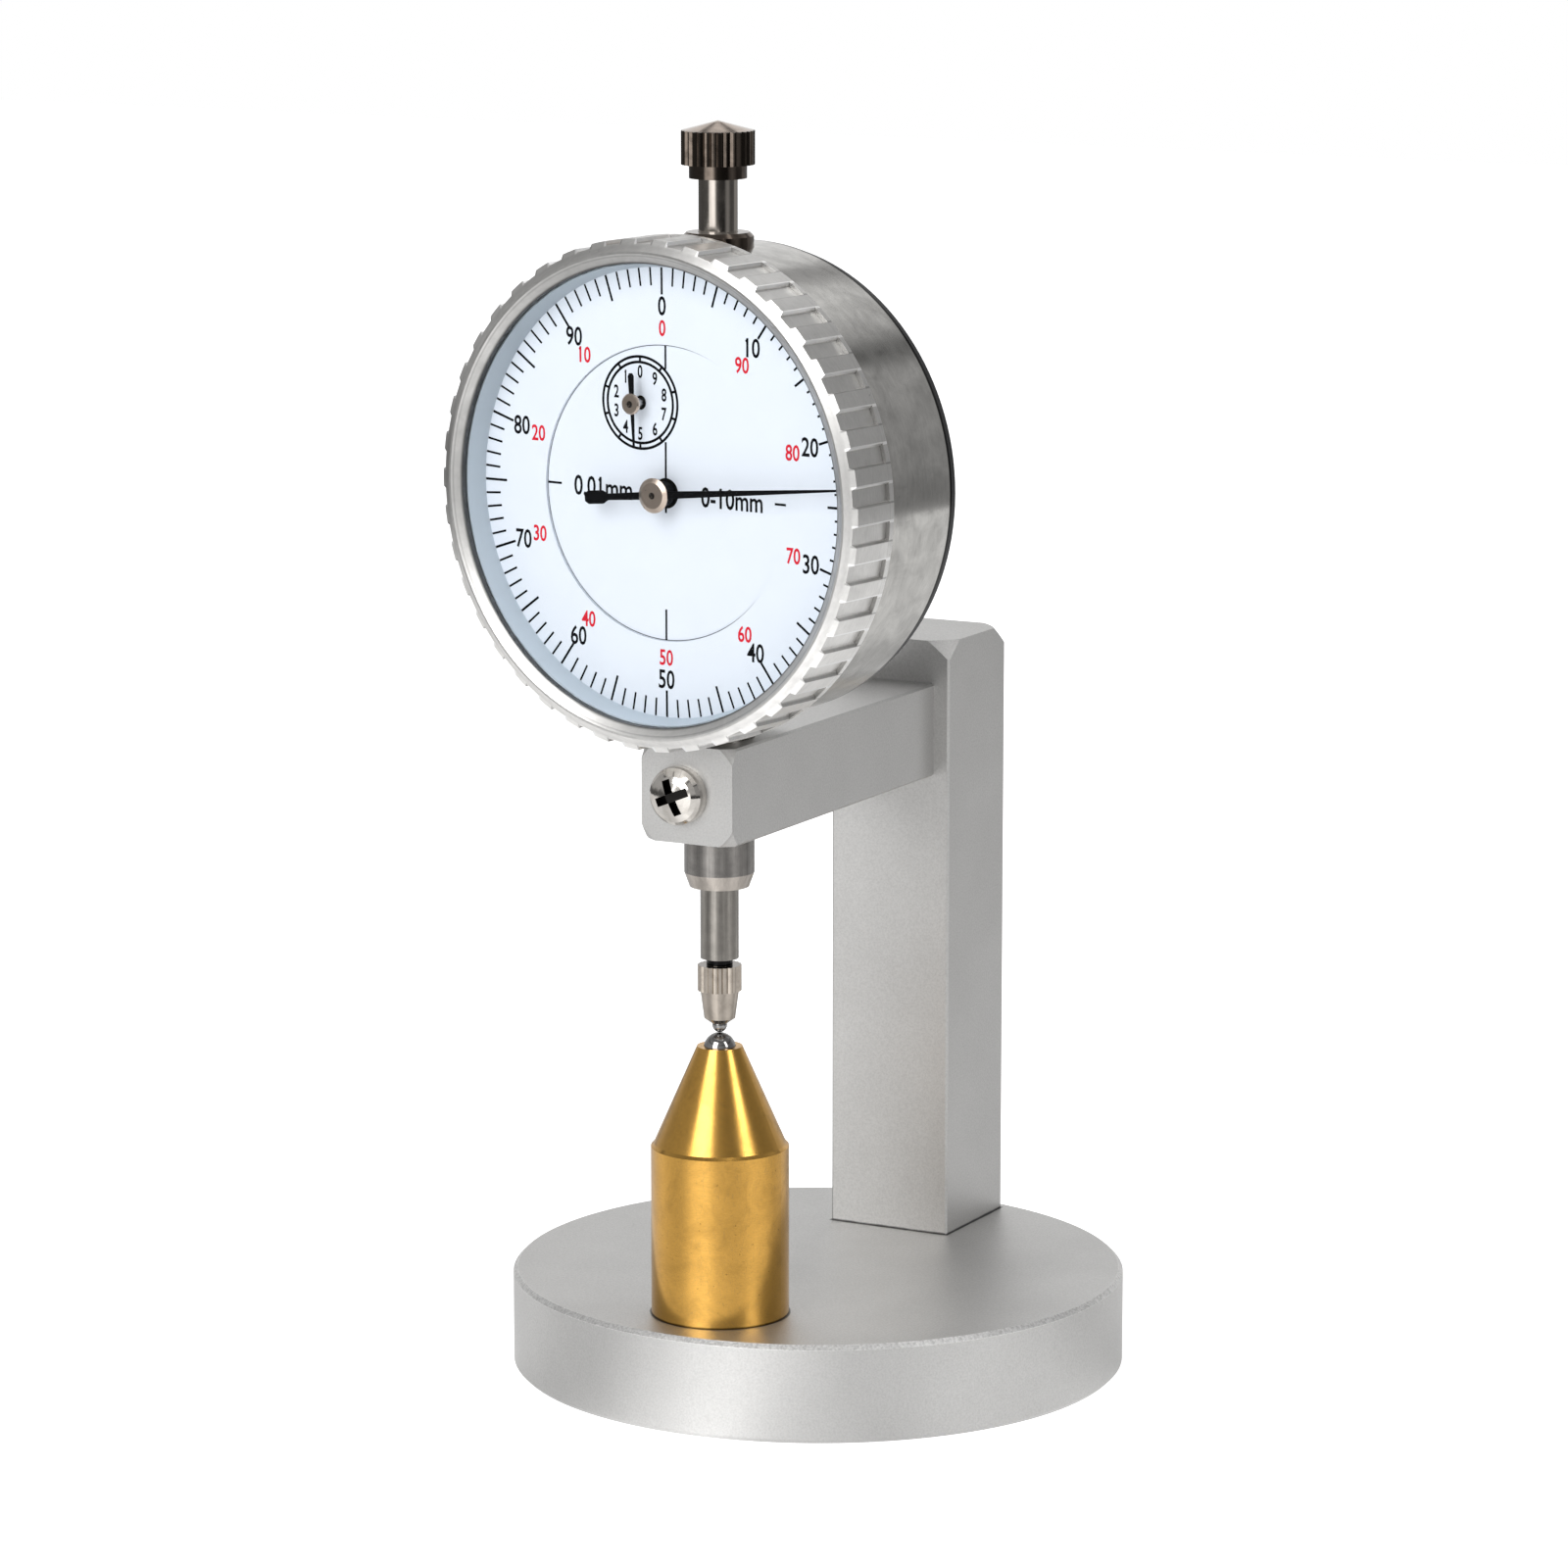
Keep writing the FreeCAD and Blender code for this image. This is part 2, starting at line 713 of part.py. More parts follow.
def stand_screws():
    grip = size.base_height - size.head_sink
    socket_screw(
        new_body("post_screw", y=post_centre, z=size.head_sink), "Z_Axis", size.large_screw_radius,
        size.large_screw_reach, size.large_head_radius, size.large_head_height, grip,
    )
    socket_screw(
        new_body("anvil_screw", y=-gauge_forward, z=size.head_sink), "Z_Axis", size.small_screw_radius,
        anvil_screw_reach, size.small_head_radius, size.small_head_height, grip,
    )
    back = post_front + size.post_depth - size.head_sink
    socket_screw(
        new_body("arm_screw", y=back, z=arm_middle), "Y_Axis", size.small_screw_radius,
        size.small_screw_reach, size.small_head_radius, size.small_head_height,
        size.post_depth - size.head_sink,
    )


def clamp_screw():
    """Pan-head screw that presses on the stem, with a cross recess in its dome."""
    body = new_body("clamp_screw", x=-size.clamp_offset, y=-arm_nose, z=arm_middle)
    tip = size.arm_overhang - size.stem_radius - size.touch_gap
    crown = size.clamp_dome - size.clamp_rim
    dome = [
        (-size.clamp_rim - crown * sine(angle), size.clamp_head_radius * cosine(angle))
        for angle in range(0, 90, 15)
    ]
    level(body, [
        (tip, 0),
        (tip, size.clamp_radius),
        (-size.touch_gap, size.clamp_radius),
        (-size.touch_gap, size.clamp_head_radius),
        *dome,
        (-size.clamp_dome, 0),
    ])
    for quarter in (0, 90):
        slot = new_sketch(body, "XZ_Plane", size.clamp_dome, size.cross_turn + quarter)
        half = size.cross_width / 2
        rectangle(slot, -size.cross_reach, -half, size.cross_reach, half)
        pocket(body, slot, size.cross_depth)


def stem():
    body = gauge_body("stem")
    upright(body, [
        (spindle_bore, stem_end),
        (size.stem_end_radius, stem_end),
        (size.stem_radius, stem_end + size.stem_taper),
        (size.stem_radius, size.dial_height - case_inner + size.stem_inside),
        (spindle_bore, size.dial_height - case_inner + size.stem_inside),
    ])


def top_collar():
    body = gauge_body("top_collar")
    upright(body, [
        (spindle_bore, size.dial_height + case_inner - size.stem_inside),
        (size.collar_radius, size.dial_height + case_inner - size.stem_inside),
        (size.collar_radius, collar_top - size.collar_edge),
        (size.collar_radius - size.collar_edge, collar_top),
        (spindle_bore, collar_top),
    ])


def case():
    """Case ring: a neck for the bezel, a seat for the front plate and a flange for the cover."""
    body = gauge_body("case", z=size.dial_height)
    step = bezel_rear - size.running_gap
    seat = case_inner + size.plate_seat
    groove_front = ring_place + size.ring_width / 2 + size.running_gap
    groove_rear = ring_place - size.ring_width / 2 - size.running_gap
    groove_floor = neck_radius - size.ring_bite - size.running_gap
    level(body, [
        (-size.neck_front, seat),
        (-size.neck_front, neck_radius),
        (-groove_front, neck_radius),
        (-groove_front, groove_floor),
        (-groove_rear, groove_floor),
        (-groove_rear, neck_radius),
        (-step, neck_radius),
        (-step, size.case_radius - size.base_edge / 2),
        (-step + size.base_edge / 2, size.case_radius),
        (size.case_back, size.case_radius),
        (size.case_back, flange_inner),
        (size.case_back - size.flange_thick, flange_inner),
        (size.case_back - size.flange_thick, case_inner),
        (-plate_rear, case_inner),
        (-plate_rear, seat),
    ])
    holes = new_sketch(body, "XY_Plane")
    circle(holes, size.stem_radius + size.seat_gap)
    pocket(body, holes)
    thread = new_sketch(body, "XZ_Plane", -size.case_back)
    diagonal = cover_screw_circle * cosine(45)
    circle(thread, size.cover_screw_radius + size.seat_gap, diagonal, diagonal)
    cut = pocket(body, thread, size.flange_thick + size.overcut, reverse=True)
    around(body, cut, "Y_Axis", size.cover_screws)


def back_cover():
    body = gauge_body("back_cover", z=size.dial_height)
    spigot = flange_inner - size.seat_gap
    level(body, [
        (size.case_back - size.cover_spigot, 0),
        (size.case_back - size.cover_spigot, spigot),
        (size.case_back, spigot),
        (size.case_back, cover_radius),
        (cover_rear - size.cover_edge, cover_radius),
        (cover_rear, cover_radius - size.cover_edge),
        (cover_rear, 0),
    ])
    diagonal = cover_screw_circle * cosine(45)
    bore = new_sketch(body, "XZ_Plane", -cover_rear)
    circle(bore, size.cover_screw_radius + size.running_gap, diagonal, diagonal)
    around(body, pocket(body, bore, size.cover_thick + size.overcut, reverse=True), "Y_Axis", size.cover_screws)
    mouth = new_sketch(body, "XZ_Plane", -cover_rear)
    circle(mouth, size.cover_head_radius + size.running_gap, diagonal, diagonal)
    around(body, pocket(body, mouth, size.cover_head_height, reverse=True), "Y_Axis", size.cover_screws)


def cover_screws():
    for index in range(SIZES["cover_screws"]):
        bearing = 45 + 360 / size.cover_screws * index
        x = cover_screw_circle * sine(bearing)
        z = size.dial_height + cover_screw_circle * cosine(bearing)
        body = gauge_body(f"cover_screw_{index + 1}", x, z)
        shank_end = size.case_back - size.flange_thick
        head = cover_rear - size.cover_head_height
        level(body, [
            (shank_end, 0),
            (shank_end, size.cover_screw_radius),
            (head, size.cover_screw_radius),
            (head, size.cover_head_radius),
            (cover_rear, size.cover_head_radius),
            (cover_rear, 0),
        ])
        slot = new_sketch(body, "XZ_Plane", -cover_rear)
        half = size.cover_slot / 2
        reach = size.cover_head_radius + size.overcut
        rectangle(slot, -reach, -half, reach, half)
        pocket(body, slot, size.cover_head_height / 2, reverse=True)


def retaining_ring():
    body = gauge_body("retaining_ring", z=size.dial_height)
    half = size.ring_width / 2
    inner = neck_radius - size.ring_bite
    outer = neck_radius + size.ring_stand
    level(body, [
        (-ring_place - half, inner),
        (-ring_place - half, outer),
        (-ring_place + half, outer),
        (-ring_place + half, inner),
    ])


def bezel():
    """Toothed bezel: grooves open at the front and stop at a plain rear band."""
    body = gauge_body("bezel", z=size.dial_height)
    bore = neck_radius + size.running_gap
    groove_front = ring_place + size.ring_width / 2 + 2 * size.running_gap
    groove_rear = ring_place - size.ring_width / 2 - 2 * size.running_gap
    groove_floor = neck_radius + size.ring_stand + size.running_gap
    level(body, [
        (-crystal_front, crystal_radius),
        (-bezel_ridge, bezel_ridge_radius - size.bezel_ridge_half),
        (-bezel_ridge, bezel_ridge_radius + size.bezel_ridge_half),
        (-tooth_front, bezel_tip_radius),
        (-bezel_rear - size.bezel_rear_edge, bezel_tip_radius),
        (-bezel_rear, bezel_tip_radius - size.bezel_rear_edge),
        (-bezel_rear, bore),
        (-groove_rear, bore),
        (-groove_rear, groove_floor),
        (-groove_front, groove_floor),
        (-groove_front, bore),
        (-shoulder_rear, bore),
        (-shoulder_rear, bezel_shoulder_radius),
        (-ring_rear, bezel_shoulder_radius),
        (-ring_rear, crystal_radius),
    ])
    groove = new_sketch(body, "XZ_Plane", bezel_ridge + size.overcut)
    reach = bezel_tip_radius + size.overcut
    spread = size.groove_flare / size.bezel_tooth_height * (reach - bezel_root_radius) * 2
    floor_half = size.groove_width / 2 - size.groove_flare
    mouth_half = floor_half + spread
    polygon(groove, [
        (-floor_half, bezel_root_radius),
        (floor_half, bezel_root_radius),
        (mouth_half, reach),
        (-mouth_half, reach),
    ])
    cut = pocket(body, groove, bezel_ridge + size.overcut - groove_end)
    around(body, cut, "Y_Axis", size.bezel_teeth)


def washer(label, front, rear, outer, inner=None):
    """A flat ring or disc round the dial axis."""
    body = gauge_body(label, z=size.dial_height)
    inner = 0 if inner is None else inner
    level(body, [(-front, inner), (-front, outer), (-rear, outer), (-rear, inner)])
    return body


def dial_parts():
    inside = crystal_radius - size.seat_gap
    washer("crystal", crystal_front, crystal_rear, inside)
    wall = gauge_body("dial_wall", z=size.dial_height)
    level(wall, [
        (-crystal_rear, crystal_radius - size.wall_edge),
        (-crystal_rear, inside),
        (-ring_face, inside),
        (-ring_face, crystal_radius - size.wall_thick),
    ])
    washer("dial_ring", ring_face, ring_rear, inside, ring_hole)
    body = washer("centre_dial", disc_front, disc_rear, disc_radius)
    holes = new_sketch(body, "XZ_Plane")
    circle(holes, size.hand_boss_radius + size.bore_play)
    circle(holes, size.arbor_radius + size.bore_play, counter_x, counter_z - size.dial_height)
    pocket(body, holes)


def pillar_spots():
    """The pillars' places round the dial axis, clear of both wheels."""
    for index in range(SIZES["pillars"]):
        bearing = size.pillar_bearing - counter_lean + 360 / size.pillars * index
        yield index + 1, pillar_circle * sine(bearing), pillar_circle * cosine(bearing)


def plates():
    """Front and rear plates of the movement, with the pivot holes and the pillars' spigots."""
    drop = size.dial_height
    front = washer("front_plate", plate_front, plate_rear, case_inner + size.plate_seat - size.seat_gap)
    holes = new_sketch(front, "XZ_Plane")
    circle(holes, size.arbor_radius + size.arbor_play)
    circle(holes, size.arbor_radius + size.arbor_play, counter_x, counter_z - drop)
    circle(holes, size.pivot_radius + size.arbor_play, takeup_x, takeup_z - drop)
    for _, x, z in pillar_spots():
        circle(holes, size.pillar_spigot + size.seat_gap, x, z)
    pocket(front, holes)
    rear = washer("rear_plate", rear_plate_front, rear_plate_rear, rear_plate_radius)
    holes = new_sketch(rear, "XZ_Plane")
    circle(holes, size.pivot_radius + size.arbor_play)
    circle(holes, size.arbor_radius + size.arbor_play, counter_x, counter_z - drop)
    circle(holes, size.pivot_radius + size.arbor_play, takeup_x, takeup_z - drop)
    for _, x, z in pillar_spots():
        circle(holes, size.pillar_spigot + size.seat_gap, x, z)
    pocket(rear, holes)
    for number, x, z in pillar_spots():
        body = gauge_body(f"pillar_{number}", x, size.dial_height + z)
        level(body, [
            (-plate_front, 0),
            (-plate_front, size.pillar_spigot),
            (-plate_rear, size.pillar_spigot),
            (-plate_rear, size.pillar_radius),
            (-rear_plate_front, size.pillar_radius),
            (-rear_plate_front, size.pillar_spigot),
            (-rear_plate_rear, size.pillar_spigot),
            (-rear_plate_rear, 0),
        ])


def counter_cock():
    """Bridge behind the spindle's side that holds the counter arbor's rear pivot."""
    body = gauge_body("counter_cock", counter_x, counter_z)
    half = size.cock_width / 2
    bar = new_sketch(body, "XZ_Plane", -cock_front)
    rectangle(bar, -size.cock_reach - half, -half, half, half)
    pad(body, bar, size.cock_thick, reverse=True)
    foot = new_sketch(body, "XZ_Plane", -cock_front)
    rectangle(foot, -size.cock_reach - half, -half, -size.cock_reach + half, half)
    pad(body, foot, cock_front + rear_plate_rear)
    hole = new_sketch(body, "XZ_Plane")
    circle(hole, size.pivot_radius + size.arbor_play)
    pocket(body, hole)


def guide_rail():
    """Rail whose closed slot keeps the spindle from turning and ends its travel."""
    body = gauge_body("guide_rail", z=pin_height)
    low = size.travel_down + size.pin_radius + size.running_gap
    high = size.travel_up + size.pin_radius + size.running_gap
    wall = size.rail_end_wall
    block = new_sketch(body, "XZ_Plane", rear_plate_rear)
    rectangle(block, size.rail_near, -low - wall, size.rail_far, high + wall)
    pad(body, block, rear_plate_rear + size.rail_rear, reverse=True)
    slot = new_sketch(body, "YZ_Plane", size.rail_near)
    half = size.pin_radius + size.running_gap
    rectangle(slot, -half, -low, half, high)
    pocket(body, slot, size.pin_reach + 2 * size.running_gap - size.rail_near, reverse=True)


def gear_teeth(body, front, length, root, pitch, tip, halves, count, turn=0.0):
    """Put one straight-flanked tooth on a body and repeat it round the Y axis."""
    root_half, pitch_half, tip_half = halves
    inside = root - size.tooth_sink
    sketch = new_sketch(body, "XZ_Plane", front - length, turn)
    polygon(sketch, [
        (-root_half, inside),
        (root_half, inside),
        (root_half, root),
        (pitch_half, pitch),
        (tip_half, tip),
        (-tip_half, tip),
        (-pitch_half, pitch),
        (-root_half, root),
    ])
    around(body, pad(body, sketch, length), "Y_Axis", count)


def fine_halves():
    return tuple(gear_module * share for share in
                 (size.tooth_root_share, size.tooth_pitch_share, size.tooth_tip_share))


def centre_arbor():
    """Arbor under the main hand, with the ten-leaf pinion that both wheels drive."""
    body = gauge_body("centre_arbor", z=size.dial_height)
    pitch = gear_module * size.leaf_teeth / 2
    root = pitch - size.tooth_bottom_share * gear_module
    leaf_rear = leaf_front - size.leaf_length
    front = main_hub_front - size.main_hub_thick
    level(body, [
        (-front, 0),
        (-front, size.arbor_radius),
        (-leaf_front, size.arbor_radius),
        (-leaf_front, root),
        (-leaf_rear, root),
        (-leaf_rear, size.arbor_radius),
        (-rear_plate_front - size.running_gap, size.arbor_radius),
        (-rear_plate_front - size.running_gap, size.pivot_radius),
        (-rear_plate_rear, size.pivot_radius),
        (-rear_plate_rear, 0),
    ])
    gap_turn = counter_lean + 180 / size.leaf_teeth
    gear_teeth(body, leaf_front, size.leaf_length, root, pitch, pitch + gear_module,
               fine_halves(), size.leaf_teeth, gap_turn)


def wheel(label, x, z, turn):
    """A hundred-tooth wheel whose tooth meets the centre pinion."""
    body = gauge_body(label, x, z)
    pitch = gear_module * size.wheel_teeth / 2
    root = pitch - size.tooth_bottom_share * gear_module
    rear = wheel_front - size.wheel_thick
    level(body, [
        (-wheel_front, size.wheel_bore),
        (-wheel_front, root),
        (-rear, root),
        (-rear, size.wheel_bore),
    ])
    gear_teeth(body, wheel_front, size.wheel_thick, root, pitch, pitch + gear_module,
               fine_halves(), size.wheel_teeth, turn)


def counter_arbor():
    """Arbor of the counter hand, driven by the rack through a sixteen-tooth pinion."""
    body = gauge_body("counter_arbor", counter_x, counter_z)
    addendum = size.rack_pitch / math.pi
    root = rack_pinion_radius - size.tooth_bottom_share * addendum
    front = counter_hub_front - size.counter_hub_thick
    rear = wheel_front - size.wheel_thick
    collar = size.wheel_bore + size.collet_width
    level(body, [
        (-front, 0),
        (-front, size.arbor_radius),
        (-wheel_front - size.collet_thick, size.arbor_radius),
        (-wheel_front - size.collet_thick, collar),
        (-wheel_front, collar),
        (-wheel_front, size.wheel_bore - size.seat_gap),
        (-rear, size.wheel_bore - size.seat_gap),
        (-rear, size.arbor_radius),
        (-size.rack_pinion_half, size.arbor_radius),
        (-size.rack_pinion_half, root),
        (size.rack_pinion_half, root),
        (size.rack_pinion_half, size.arbor_radius),
        (cock_front - size.running_gap, size.arbor_radius),
        (cock_front - size.running_gap, size.pivot_radius),
        (cock_front + size.cock_thick, size.pivot_radius),
        (cock_front + size.cock_thick, 0),
    ])
    halves = size.rack_tooth_root_half, size.rack_tooth_pitch_half, size.rack_tooth_tip_half
    gear_teeth(body, size.rack_pinion_half, 2 * size.rack_pinion_half, root, rack_pinion_radius,
               rack_pinion_radius + addendum, halves, size.rack_pinion_teeth)
    wheel("counter_wheel", counter_x, counter_z, counter_lean - 180)


def takeup_arbor():
    """Arbor of the wheel that keeps the train's backlash to one side."""
    body = gauge_body("takeup_arbor", takeup_x, takeup_z)
    rear = wheel_front - size.wheel_thick
    collar = size.wheel_bore + size.collet_width
    level(body, [
        (-plate_front, 0),
        (-plate_front, size.pivot_radius),
        (-plate_rear + size.running_gap, size.pivot_radius),
        (-plate_rear + size.running_gap, size.arbor_radius),
        (-wheel_front - size.collet_thick, size.arbor_radius),
        (-wheel_front - size.collet_thick, collar),
        (-wheel_front, collar),
        (-wheel_front, size.wheel_bore - size.seat_gap),
        (-rear, size.wheel_bore - size.seat_gap),
        (-rear, size.arbor_radius),
        (-rear_plate_front - size.running_gap, size.arbor_radius),
        (-rear_plate_front - size.running_gap, size.pivot_radius),
        (-rear_plate_rear, size.pivot_radius),
        (-rear_plate_rear, 0),
    ])
    wheel("takeup_wheel", takeup_x, takeup_z, counter_lean)


def main_hand():
    """Thin pointer with a spade tail on a boss, under a turned hub."""
    front = main_hub_front - size.main_hub_thick
    rear = front - size.hand_thick
    body = gauge_body("main_hand", z=size.dial_height)
    blade = new_sketch(body, "XZ_Plane", rear, size.main_hand_turn)
    polygon(blade, [
        (-size.main_hand_half, 0),
        (-size.hand_waist_half, -size.spade_start),
        (-size.spade_half, -size.spade_start - size.spade_slope),
        (-size.spade_half, -size.main_hand_tail + size.spade_heel),
        (-size.spade_heel_half, -size.main_hand_tail),
        (size.spade_heel_half, -size.main_hand_tail),
        (size.spade_half, -size.main_hand_tail + size.spade_heel),
        (size.spade_half, -size.spade_start - size.spade_slope),
        (size.hand_waist_half, -size.spade_start),
        (size.main_hand_half, 0),
        (size.main_hand_tip_half, main_hand_reach),
        (-size.main_hand_tip_half, main_hand_reach),
    ])
    pad(body, blade, size.hand_thick)
    boss = new_sketch(body, "XZ_Plane", rear - size.hand_boss_length)
    circle(boss, size.hand_boss_radius)
    pad(body, boss, size.hand_boss_length + size.hand_thick)
    hole = new_sketch(body, "XZ_Plane")
    circle(hole, size.arbor_radius + size.seat_gap)
    pocket(body, hole)
    hub = gauge_body("main_hub", z=size.dial_height)
    level(hub, [
        (-main_hub_front + size.hub_mark_depth, 0),
        (-main_hub_front, size.hub_mark_radius),
        (-main_hub_front, size.main_hub_radius - 2 * size.main_hub_edge),
        (-main_hub_front + size.main_hub_edge, size.main_hub_radius),
        (-front, size.main_hub_radius),
        (-front, 0),
    ])


def counter_hand():
    front = counter_hub_front - size.counter_hub_thick
    rear = front - size.hand_thick
    body = gauge_body("counter_hand", counter_x, counter_z)
    blade = new_sketch(body, "XZ_Plane", rear, size.counter_hand_turn)
    polygon(blade, [
        (-size.counter_hand_half, 0),
        (-size.counter_tail_half, -size.counter_hand_tail + size.counter_heel),
        (-size.counter_heel_half, -size.counter_hand_tail),
        (size.counter_heel_half, -size.counter_hand_tail),
        (size.counter_tail_half, -size.counter_hand_tail + size.counter_heel),
        (size.counter_hand_half, 0),
        (size.counter_tip_half, size.counter_hand_reach),
        (-size.counter_tip_half, size.counter_hand_reach),
    ])
    pad(body, blade, size.hand_thick)
    boss = new_sketch(body, "XZ_Plane", rear)
    circle(boss, size.counter_boss_radius)
    pad(body, boss, size.hand_thick)
    hole = new_sketch(body, "XZ_Plane")
    circle(hole, size.arbor_radius + size.seat_gap)
    pocket(body, hole)
    hub = gauge_body("counter_hub", counter_x, counter_z)
    edge = size.counter_hub_edge
    level(hub, [
        (-counter_hub_front + size.hub_mark_depth, 0),
        (-counter_hub_front, size.hub_mark_radius),
        (-counter_hub_front, size.counter_hub_radius - edge),
        (-counter_hub_front + edge, size.counter_hub_radius),
        (-front, size.counter_hub_radius),
        (-front, 0),
    ])


def spindle():
    """Round spindle with a rack on the side of the counter arbor."""
    body = gauge_body("spindle")
    upright(body, [
        (0, spindle_bottom),
        (size.spindle_radius, spindle_bottom),
        (size.spindle_radius, spindle_top),
        (size.spindle_spigot, spindle_top),
        (size.spindle_spigot, spindle_top + size.spigot_length),
        (0, spindle_top + size.spigot_length),
    ])
    socket = new_sketch(body, "XY_Plane", spindle_bottom)
    circle(socket, size.contact_stud_radius + size.seat_gap)
    pocket(body, socket, size.contact_stud_length + size.screw_tip_room, reverse=True)
    cross = new_sketch(body, "YZ_Plane", -size.pin_seat)
    circle(cross, size.pin_radius + size.seat_gap, 0, pin_height)
    pocket(body, cross, size.pin_seat + size.spindle_radius + size.overcut, reverse=True)
    crest = rack_line - size.rack_depth / 2
    floor = rack_line + size.rack_depth / 2
    start = counter_z - (size.rack_gaps / 2 - 1) * size.rack_pitch
    flat = new_sketch(body, "XZ_Plane")
    rectangle(flat, -size.spindle_radius - size.overcut, start - size.rack_pitch / 2, crest,
              start + (size.rack_gaps - 0.5) * size.rack_pitch)
    pocket(body, flat)
    gap = new_sketch(body, "XZ_Plane")
    polygon(gap, [
        (crest - size.overcut, start - size.rack_mouth / 2),
        (crest, start - size.rack_mouth / 2),
        (floor, start - size.rack_floor / 2),
        (floor, start + size.rack_floor / 2),
        (crest, start + size.rack_mouth / 2),
        (crest - size.overcut, start + size.rack_mouth / 2),
    ])
    cut = pocket(body, gap)
    rack = body.newObject("PartDesign::LinearPattern", "spindle_rack")
    rack.Originals = [cut]
    rack.Direction = (origin_item(body, "Z_Axis"), [""])
    bind(rack, "Length", (size.rack_gaps - 1) * size.rack_pitch)
    bind(rack, "Occurrences", size.rack_gaps)
    body.Tip = rack


def guide_pin():
    """Cross pin in the spindle that runs in the rail's slot."""
    body = gauge_body("guide_pin", z=pin_height)
    sketch = new_sketch(body, "YZ_Plane", -size.pin_seat)
    circle(sketch, size.pin_radius)
    pad(body, sketch, size.pin_seat + size.pin_reach)


def flutes(body, radius, depth, low, height, count):
    """Cut vee flutes into a turned collar."""
    vee = new_sketch(body, "XY_Plane", low)
    mouth = radius * sine(size.flute_share * 180 / count)
    polygon(vee, [
        (0, radius - depth),
        (mouth, radius + size.seat_gap),
        (mouth, radius + size.overcut),
        (-mouth, radius + size.overcut),
        (-mouth, radius + size.seat_gap),
    ])
    around(body, pocket(body, vee, height, reverse=True), "Z_Axis", count)


def contact_point():
    """Screwed contact with a knurled collar and a small ball at its tip."""
    middle = contact_tip + size.contact_ball_radius
    end = contact_tip + size.contact_nose
    waist = end + size.contact_chamfer
    collar_top = spindle_bottom - size.contact_neck
    collar_low = collar_top - size.contact_collar_height
    body = gauge_body("contact_holder")
    upright(body, [
        (0, end),
        (size.contact_nose_radius, end),
        (size.contact_waist_radius, waist),
        (size.contact_cone_top, collar_low),
        (size.contact_collar_radius, collar_low),
        (size.contact_collar_radius, collar_top),
        (size.contact_neck_radius, collar_top),
        (size.contact_neck_radius, spindle_bottom),
        (size.contact_stud_radius, spindle_bottom),
        (size.contact_stud_radius, spindle_bottom + size.contact_stud_length),
        (0, spindle_bottom + size.contact_stud_length),
    ])
    sketch = new_sketch(body, "XZ_Plane")
    half_disc(sketch, size.contact_ball_radius + size.seat_gap, middle)
    cut = body.newObject("PartDesign::Groove", "contact_seat")
    cut.Profile = sketch
    cut.ReferenceAxis = (sketch, ["V_Axis"])
    cut.Angle = 360
    flutes(body, size.contact_collar_radius, size.contact_flute_depth, collar_low,
           size.contact_collar_height, size.contact_flutes)
    ball("contact_ball", gauge_body("contact_ball"), size.contact_ball_radius, middle)


def lift_knob():
    body = gauge_body("lift_knob")
    flange_top = spindle_top + size.knob_flange_height
    rim = flange_top + size.knob_height
    bore = size.spindle_spigot + size.seat_gap
    ceiling = spindle_top + size.spigot_length + size.running_gap
    upright(body, [
        (bore, spindle_top),
        (size.knob_flange_radius, spindle_top),
        (size.knob_flange_radius, flange_top),
        (size.knob_radius, flange_top),
        (size.knob_radius, rim),
        (0, rim + size.knob_crown),
        (0, ceiling),
        (bore, ceiling),
    ])
    flutes(body, size.knob_radius, size.knob_flute_depth, flange_top, size.knob_height + size.knob_crown,
           size.knob_flutes)


base_disc()
post()
arm()
anvil()
stand_screws()
clamp_screw()
stem()
top_collar()
case()
back_cover()
cover_screws()
retaining_ring()
bezel()
dial_parts()
plates()
counter_cock()
guide_rail()
centre_arbor()
counter_arbor()
takeup_arbor()
main_hand()
counter_hand()
spindle()
guide_pin()
contact_point()
lift_knob()
doc.recompute()

faults = [item.Name for item in doc.Objects if "Invalid" in item.State or "Error" in item.State]
if faults:
    raise RuntimeError(f"objects that failed to build: {faults}")
for part in parts:
    if part.Shape.isNull() or not part.Shape.isValid() or len(part.Shape.Solids) != 1:
        raise RuntimeError(f"{part.Label} isn't one valid solid")

os.makedirs("parts", exist_ok=True)
for part in parts:
    part.Shape.exportStep(os.path.join("parts", f"{part.Label}.step"))
print(f"{len(parts)} pieces written")
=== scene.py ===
import json
import math

import bmesh
import bpy
from mathutils import Matrix, Vector


